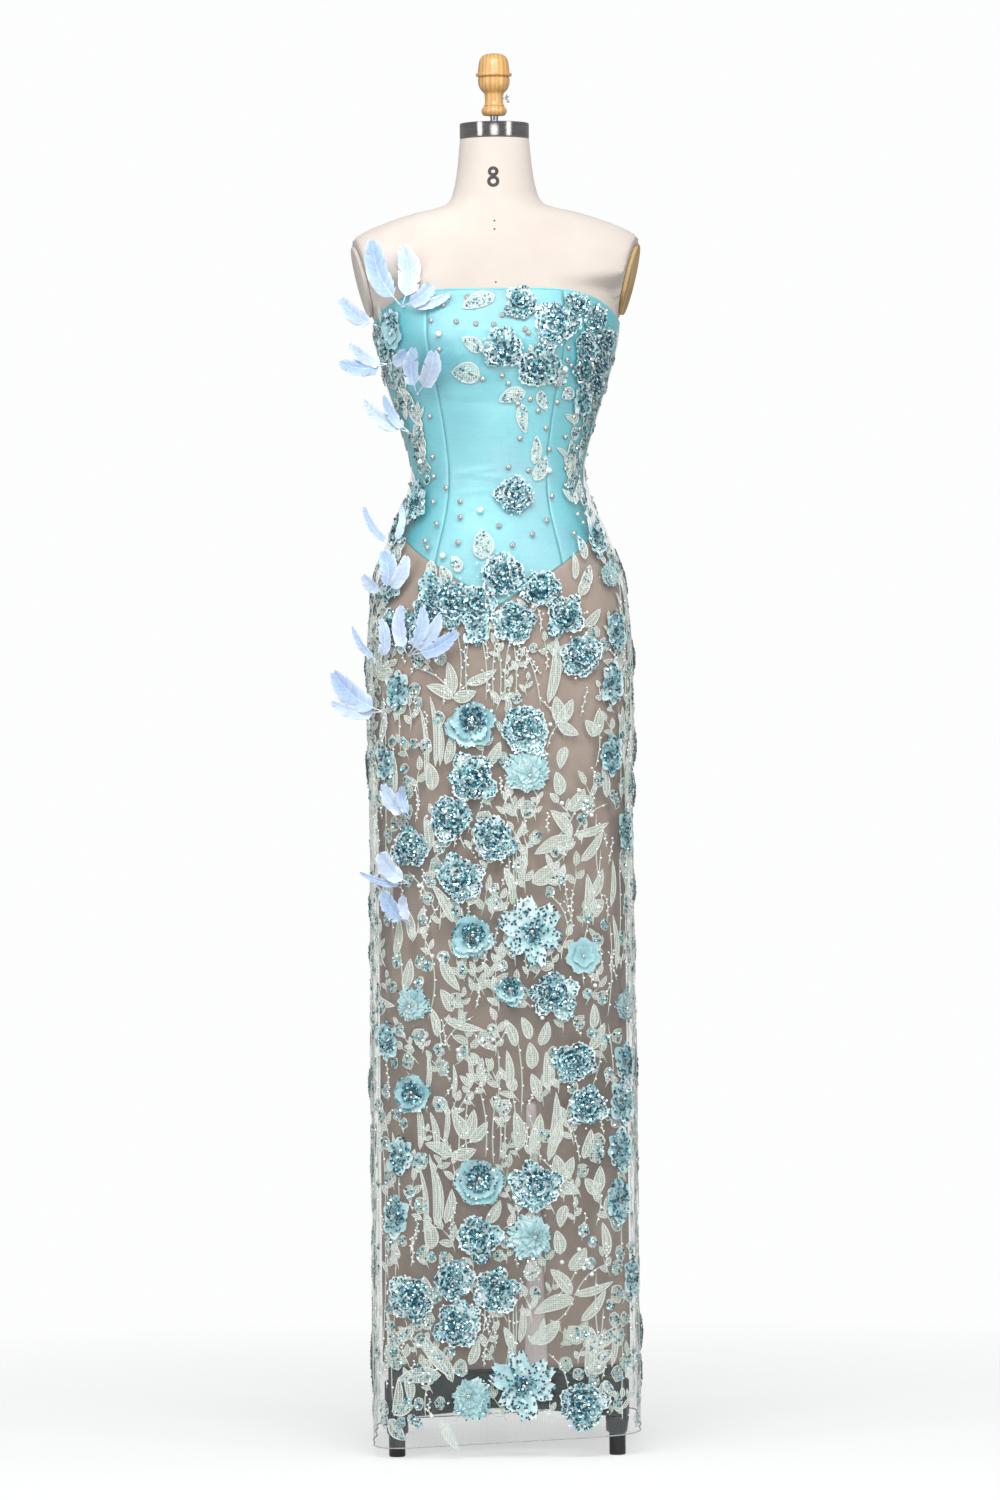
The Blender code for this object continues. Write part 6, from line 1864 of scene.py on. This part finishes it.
def make_tufts():
    surface = surface_of("overlay_front", "form_torso")
    for name, (root_x, root_z, feathers) in TUFTS.items():
        x, z = AXIS[0] + root_x * MM, root_z * MM
        root = Vector((x, (drop(surface, x, z) or 0.0) - 2.2 * MM, z))
        vertices, faces, tones = [], [], []
        count = len(feathers)
        for number, (tip_x, tip_z, width, lift) in enumerate(feathers):
            start = root + Vector(((number + 0.5 - count / 2) * QUILL_WIDTH * 0.8, 0, 1.5 * MM))
            path = feather_path(surface, start, tip_x, tip_z, width, lift, FEATHER_STATIONS)
            pale = FEATHER_TONES[(number + len(name)) % len(FEATHER_TONES)]
            make_feather(path, width * FEATHER_FULL, vertices, faces, tones, pale)
        half = QUILL_WIDTH * count * 0.25
        line = [(x, root.y + 0.6 * MM, root.z) for x in np.linspace(root.x - half, root.x + half, 5)]
        knot, knot_faces = tube(line, np.array(KNOT_RADII) * MM, 8)
        gather(vertices, faces, knot, knot_faces)
        tones += [0.4] * len(knot)
        obj = new_object(name + "_barbs", vertices, faces, FEATHER)
        set_tones(obj.data, tones)
        finish_piece(obj, "feather", replaced=(name,))


# Dress form

def armhole_plane(y, z):
    return ARMHOLE_BASE + ARMHOLE_TILT * (z - ARMHOLE_HEIGHT) + ARMHOLE_YAW * y


def make_form():
    skin = Skin(None, -0.15 * MM, FORM_LOW, FORM_HIGH, FORM_STEP, np.linspace(1.0, 5.0, FORM_COLUMNS))
    points = skin.points.copy()
    x, y, z = points[..., 0], points[..., 1], points[..., 2]
    limit = armhole_plane(y, z)
    over = np.clip((z - ARMHOLE_HEIGHT) / ARMHOLE_BLEND + 0.5, 0, 1)
    clamped = np.sign(x) * np.minimum(np.abs(x), limit)
    oval = np.hypot(y / PLATE_HALF_WIDTH, (z - PLATE_CENTRE_Z) / PLATE_HALF_HEIGHT)
    flat_side = (z > ARMHOLE_HEIGHT) & (oval < PLATE_MARGIN) & (np.abs(x) > PLATE_INSIDE)
    clamped = np.where(flat_side, np.sign(x) * (limit - PLATE_SUNK), clamped)
    points[..., 0] = mix(x, clamped, over)
    rows, count = points.shape[0], points.shape[1] - 1
    vertices = (points[:, :-1].reshape(-1, 3) + AXIS).tolist()
    faces = grid_faces(count, rows, closed=True)
    faces += [tuple(reversed(range(count))), tuple(range((rows - 1) * count, rows * count))]
    obj = new_object("form_linen", vertices, faces, LINEN)
    obj.data.set_sharp_from_angle(angle=math.radians(40))
    finish_piece(obj, "linen", replaced=("form_torso",))
    return skin


def make_form_marks(skin):
    """The seam down the back of the neck, and the printed dots and size on its front."""
    line = skin.at([(1.0, h, 0.05 * MM) for h in np.linspace(FORM_SEAM_LOW, FORM_SEAM_HIGH, 60)])
    finish_piece(new_object("form_seams", *tube(line, 0.35 * MM, 5), LINEN), "linen")
    vertices, faces = [], []

    def ink(x, z):
        length = float(skin.front_length[skin.row_of(z * MM)])
        return (3.0 + (x * MM) / length, z * MM, 0.12 * MM)

    for centre_x, centre_z, half_wide, half_high in SIZE_RINGS:
        corners = []
        for inward in (0.0, SIZE_STROKE):
            for k in range(40):
                turn = 2 * math.pi * k / 40
                corners.append(ink(centre_x + (half_wide - inward) * math.sin(turn),
                                   centre_z + (half_high - inward) * math.cos(turn)))
        gather(vertices, faces, skin.at(corners), grid_faces(40, 2, closed=True))
    for dot in FORM_DOTS:
        corners = [ink(*polar(dot, DOT_RADIUS, k * math.pi / 5)) for k in range(10)]
        gather(vertices, faces, skin.at(corners), [range(10)])
    finish_piece(new_object("form_ink", vertices, faces, INK), "linen")


# Turned, cast and pressed parts

def lathe(name, profile, material, slot, sides, replaced, centre=AXIS):
    """A turned part. The profile of radius and height, in millimetres, runs from the top down."""
    vertices = []
    for radius, height in profile:
        vertices += circle(centre, radius * MM, height * MM, sides)
    faces = grid_faces(sides, len(profile), closed=True)
    faces += [tuple(range(sides)), tuple(reversed(range((len(profile) - 1) * sides, len(profile) * sides)))]
    obj = new_object(name, vertices, faces, material)
    fix_normals(obj)
    obj.data.set_sharp_from_angle(angle=math.radians(35))
    finish_piece(obj, slot, replaced=(replaced,))


def fix_normals(obj):
    work = bmesh.new()
    work.from_mesh(obj.data)
    bmesh.ops.recalc_face_normals(work, faces=work.faces)
    work.to_mesh(obj.data)
    work.free()
    obj.data.shade_smooth()


def softened(name, node, width, material, slot, body=MAIN, segments=3):
    """A copy of a solid with its edges rounded."""
    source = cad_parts[node]
    mesh = bpy.data.meshes.new(name)
    work = bmesh.new()
    work.from_mesh(source.data)
    bmesh.ops.transform(work, matrix=source.matrix_world, verts=work.verts)
    bmesh.ops.remove_doubles(work, verts=work.verts, dist=0.01 * MM)
    bmesh.ops.dissolve_limit(work, angle_limit=math.radians(1), verts=work.verts, edges=work.edges)
    bmesh.ops.recalc_face_normals(work, faces=work.faces)
    work.to_mesh(mesh)
    work.free()
    mesh.materials.clear()
    mesh.materials.append(material)
    mesh.shade_smooth()
    obj = add_object(name, mesh)
    soft = obj.modifiers.new("edges", "BEVEL")
    soft.width = width
    soft.segments = segments
    soft.limit_method = "ANGLE"
    soft.angle_limit = math.radians(35)
    soft.harden_normals = True
    finish_piece(obj, slot, body, (node,))


def make_hardware():
    lathe("neck_ring", CAP_FINE, CHROME, "chrome", 96, "neck_cap")
    lathe("neck_stem", ROD_FINE, STEEL, "steel", 32, "neck_rod")
    lathe("knob", KNOB_FINE, WOOD, "wood", 96, "neck_knob")
    softened("thumb_screw", "wing_screw", 0.5 * MM, STEEL, "steel", "wing_screw")
    for side in ("left", "right"):
        cover = BOARD if side == "right" else LINEN
        softened("armhole_board_" + side, "armhole_plate_" + side, 1.2 * MM, cover, "plate_linen")
    softened("stand_pole", "pole", 0.8 * MM, STEEL, "steel")
    softened("stand_arms", "stand_base", 3.0 * MM, IRON, "cast_iron")
    for spot in ("front_left", "front_right", "back_left", "back_right"):
        low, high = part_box("foot_" + spot)
        lathe("foot_cap_" + spot, FOOT_FINE, IRON, "cast_iron", 32, "foot_" + spot, (low + high) / 2)


# Zip

def make_zip():
    heights = np.linspace(ZIP_TOP, ZIP_BOTTOM, 90)
    skin = Skin(None, FORM_GAP + BODICE_THICK * 0.6, 1.0, DRESS_TOP, SKIN_STEP, QUARTERS)
    middle = skin.at([(1.0, h, 0.0) for h in heights])
    vertices = []
    for row in middle:
        for x, y in TAPE_SECTION:
            vertices.append((row[0] - x * MM, row[1] + y * MM, row[2]))
    tape = new_object("zip_weave", vertices, grid_faces(5, len(heights)), TAPE)
    fix_normals(tape)
    thicken(tape, TAPE_THICK, 0.0)
    finish_piece(tape, "zip_tape", replaced=("zip_tape",))
    vertices, faces = [], []
    levels = np.arange(ZIP_BOTTOM + TOOTH_STEP, ZIP_TOP - 1 * MM, TOOTH_STEP)
    line = skin.at([(1.0, h, 0.35 * MM) for h in levels])
    for number, spot in enumerate(line):
        side = 1 if number % 2 else -1
        base = len(vertices)
        for x in (-TOOTH_OUT * side, TOOTH_IN * side):
            for y, z in TOOTH_SECTION:
                vertices.append((spot[0] + x * MM, spot[1] + y * MM, spot[2] + z * MM))
        faces += [(base, base + 1, base + 2, base + 3), (base + 7, base + 6, base + 5, base + 4)]
        faces += [(base + k, base + (k + 1) % 4, base + 4 + (k + 1) % 4, base + 4 + k) for k in range(4)]
    finish_piece(new_object("zip_teeth", vertices, faces, STEEL, smooth=False), "steel")
    softened("zip_runner", "zip_slider", 0.5 * MM, STEEL, "steel")
    softened("zip_tab", "zip_pull", 0.25 * MM, STEEL, "steel", "zip_pull", 2)
    return tape


# Floor, light and camera

def make_floor():
    vertices = [(0.0, 0.0, 0.0)]
    for radius in FLOOR_RINGS:
        vertices += circle((0.0, 0.0), radius, 0.0, FLOOR_SIDES)
    faces = [(0, 1 + k, 1 + (k + 1) % FLOOR_SIDES) for k in range(FLOOR_SIDES)]
    faces += grid_faces(FLOOR_SIDES, len(FLOOR_RINGS), 1, closed=True)
    paint = Paint("floor", roughness=0.9)
    reach = paint.node("ShaderNodeVectorMath", {0: paint.coords()}, operation="LENGTH").outputs["Value"]
    paint.join("Alpha", paint.steps(paint.math("DIVIDE", reach, FLOOR_FADE), ((0.10, 0.45), (0.60, 0.0))))
    paint.join("Base Color", paint.ramp(paint.noise(3), ((0.3, (252, 252, 252)), (0.7, (255, 255, 255)))))
    floor = new_object("floor", vertices, faces, paint.material)
    fix_normals(floor)


def area_light(name, place, aim, size, power):
    data = bpy.data.lights.new(name, "AREA")
    data.shape = "RECTANGLE"
    data.size, data.size_y = size
    data.energy = power
    light = add_object(name, data)
    light.location = place
    light.rotation_euler = (Vector(aim) - Vector(place)).to_track_quat("-Z", "Y").to_euler()


def make_lights():
    world = bpy.data.worlds.new("studio")
    bpy.context.scene.world = world
    world.use_nodes = True
    tree = world.node_tree
    tree.nodes.clear()
    path = tree.nodes.new("ShaderNodeLightPath")
    seen = tree.nodes.new("ShaderNodeBackground")
    fill = tree.nodes.new("ShaderNodeBackground")
    seen.inputs["Color"].default_value = WORLD_SEEN
    fill.inputs["Color"].default_value = WORLD_TINT
    fill.inputs["Strength"].default_value = WORLD_FILL
    join = tree.nodes.new("ShaderNodeMixShader")
    out = tree.nodes.new("ShaderNodeOutputWorld")
    tree.links.new(path.outputs["Is Camera Ray"], join.inputs[0])
    tree.links.new(fill.outputs[0], join.inputs[1])
    tree.links.new(seen.outputs[0], join.inputs[2])
    tree.links.new(join.outputs[0], out.inputs["Surface"])
    for row in LIGHTS:
        area_light(*row)


def make_camera():
    data = bpy.data.cameras.new("photo_camera")
    data.lens = LENS
    data.sensor_width = 36.0
    camera = add_object("photo_camera", data)
    place = Vector((AXIS[0] + AIM_ACROSS, AXIS[1] - CAMERA_AWAY, CAMERA_HEIGHT))
    aim = Vector((AXIS[0] + AIM_ACROSS, AXIS[1], AIM_HEIGHT))
    forward = (aim - place).normalized()
    flat_right = forward.cross(Vector((0, 0, 1))).normalized()
    flat_up = flat_right.cross(forward)
    roll = math.radians(ROLL)
    right = flat_right * math.cos(roll) - flat_up * math.sin(roll)
    up = flat_up * math.cos(roll) + flat_right * math.sin(roll)
    turn = Matrix((right, up, -forward)).transposed().to_4x4()
    camera.matrix_world = Matrix.Translation(place) @ turn
    bpy.context.scene.camera = camera


make_camera()
make_floor()
make_lights()
bpy.context.scene.view_settings.view_transform = "Standard"

form_skin = make_form()
make_form_marks(form_skin)
make_hardware()
tape = make_zip()
bodice = make_bodice()
lining = make_lining()
facing = make_facing()
overlay = make_overlay()
rolls = [
    edge_roll("bodice_top_roll", bodice_skin, top_edge, 2.0, 4.0, 160, 0.9 * MM, SATIN, "satin", -0.7 * MM),
    edge_roll("overlay_hem_roll", overlay_skin, overlay_hem, 1.0, 4.999, 420, 0.75 * MM, HEM, "tulle"),
]
for side_name in SIDES:
    make_lace(side_name)
make_tufts()
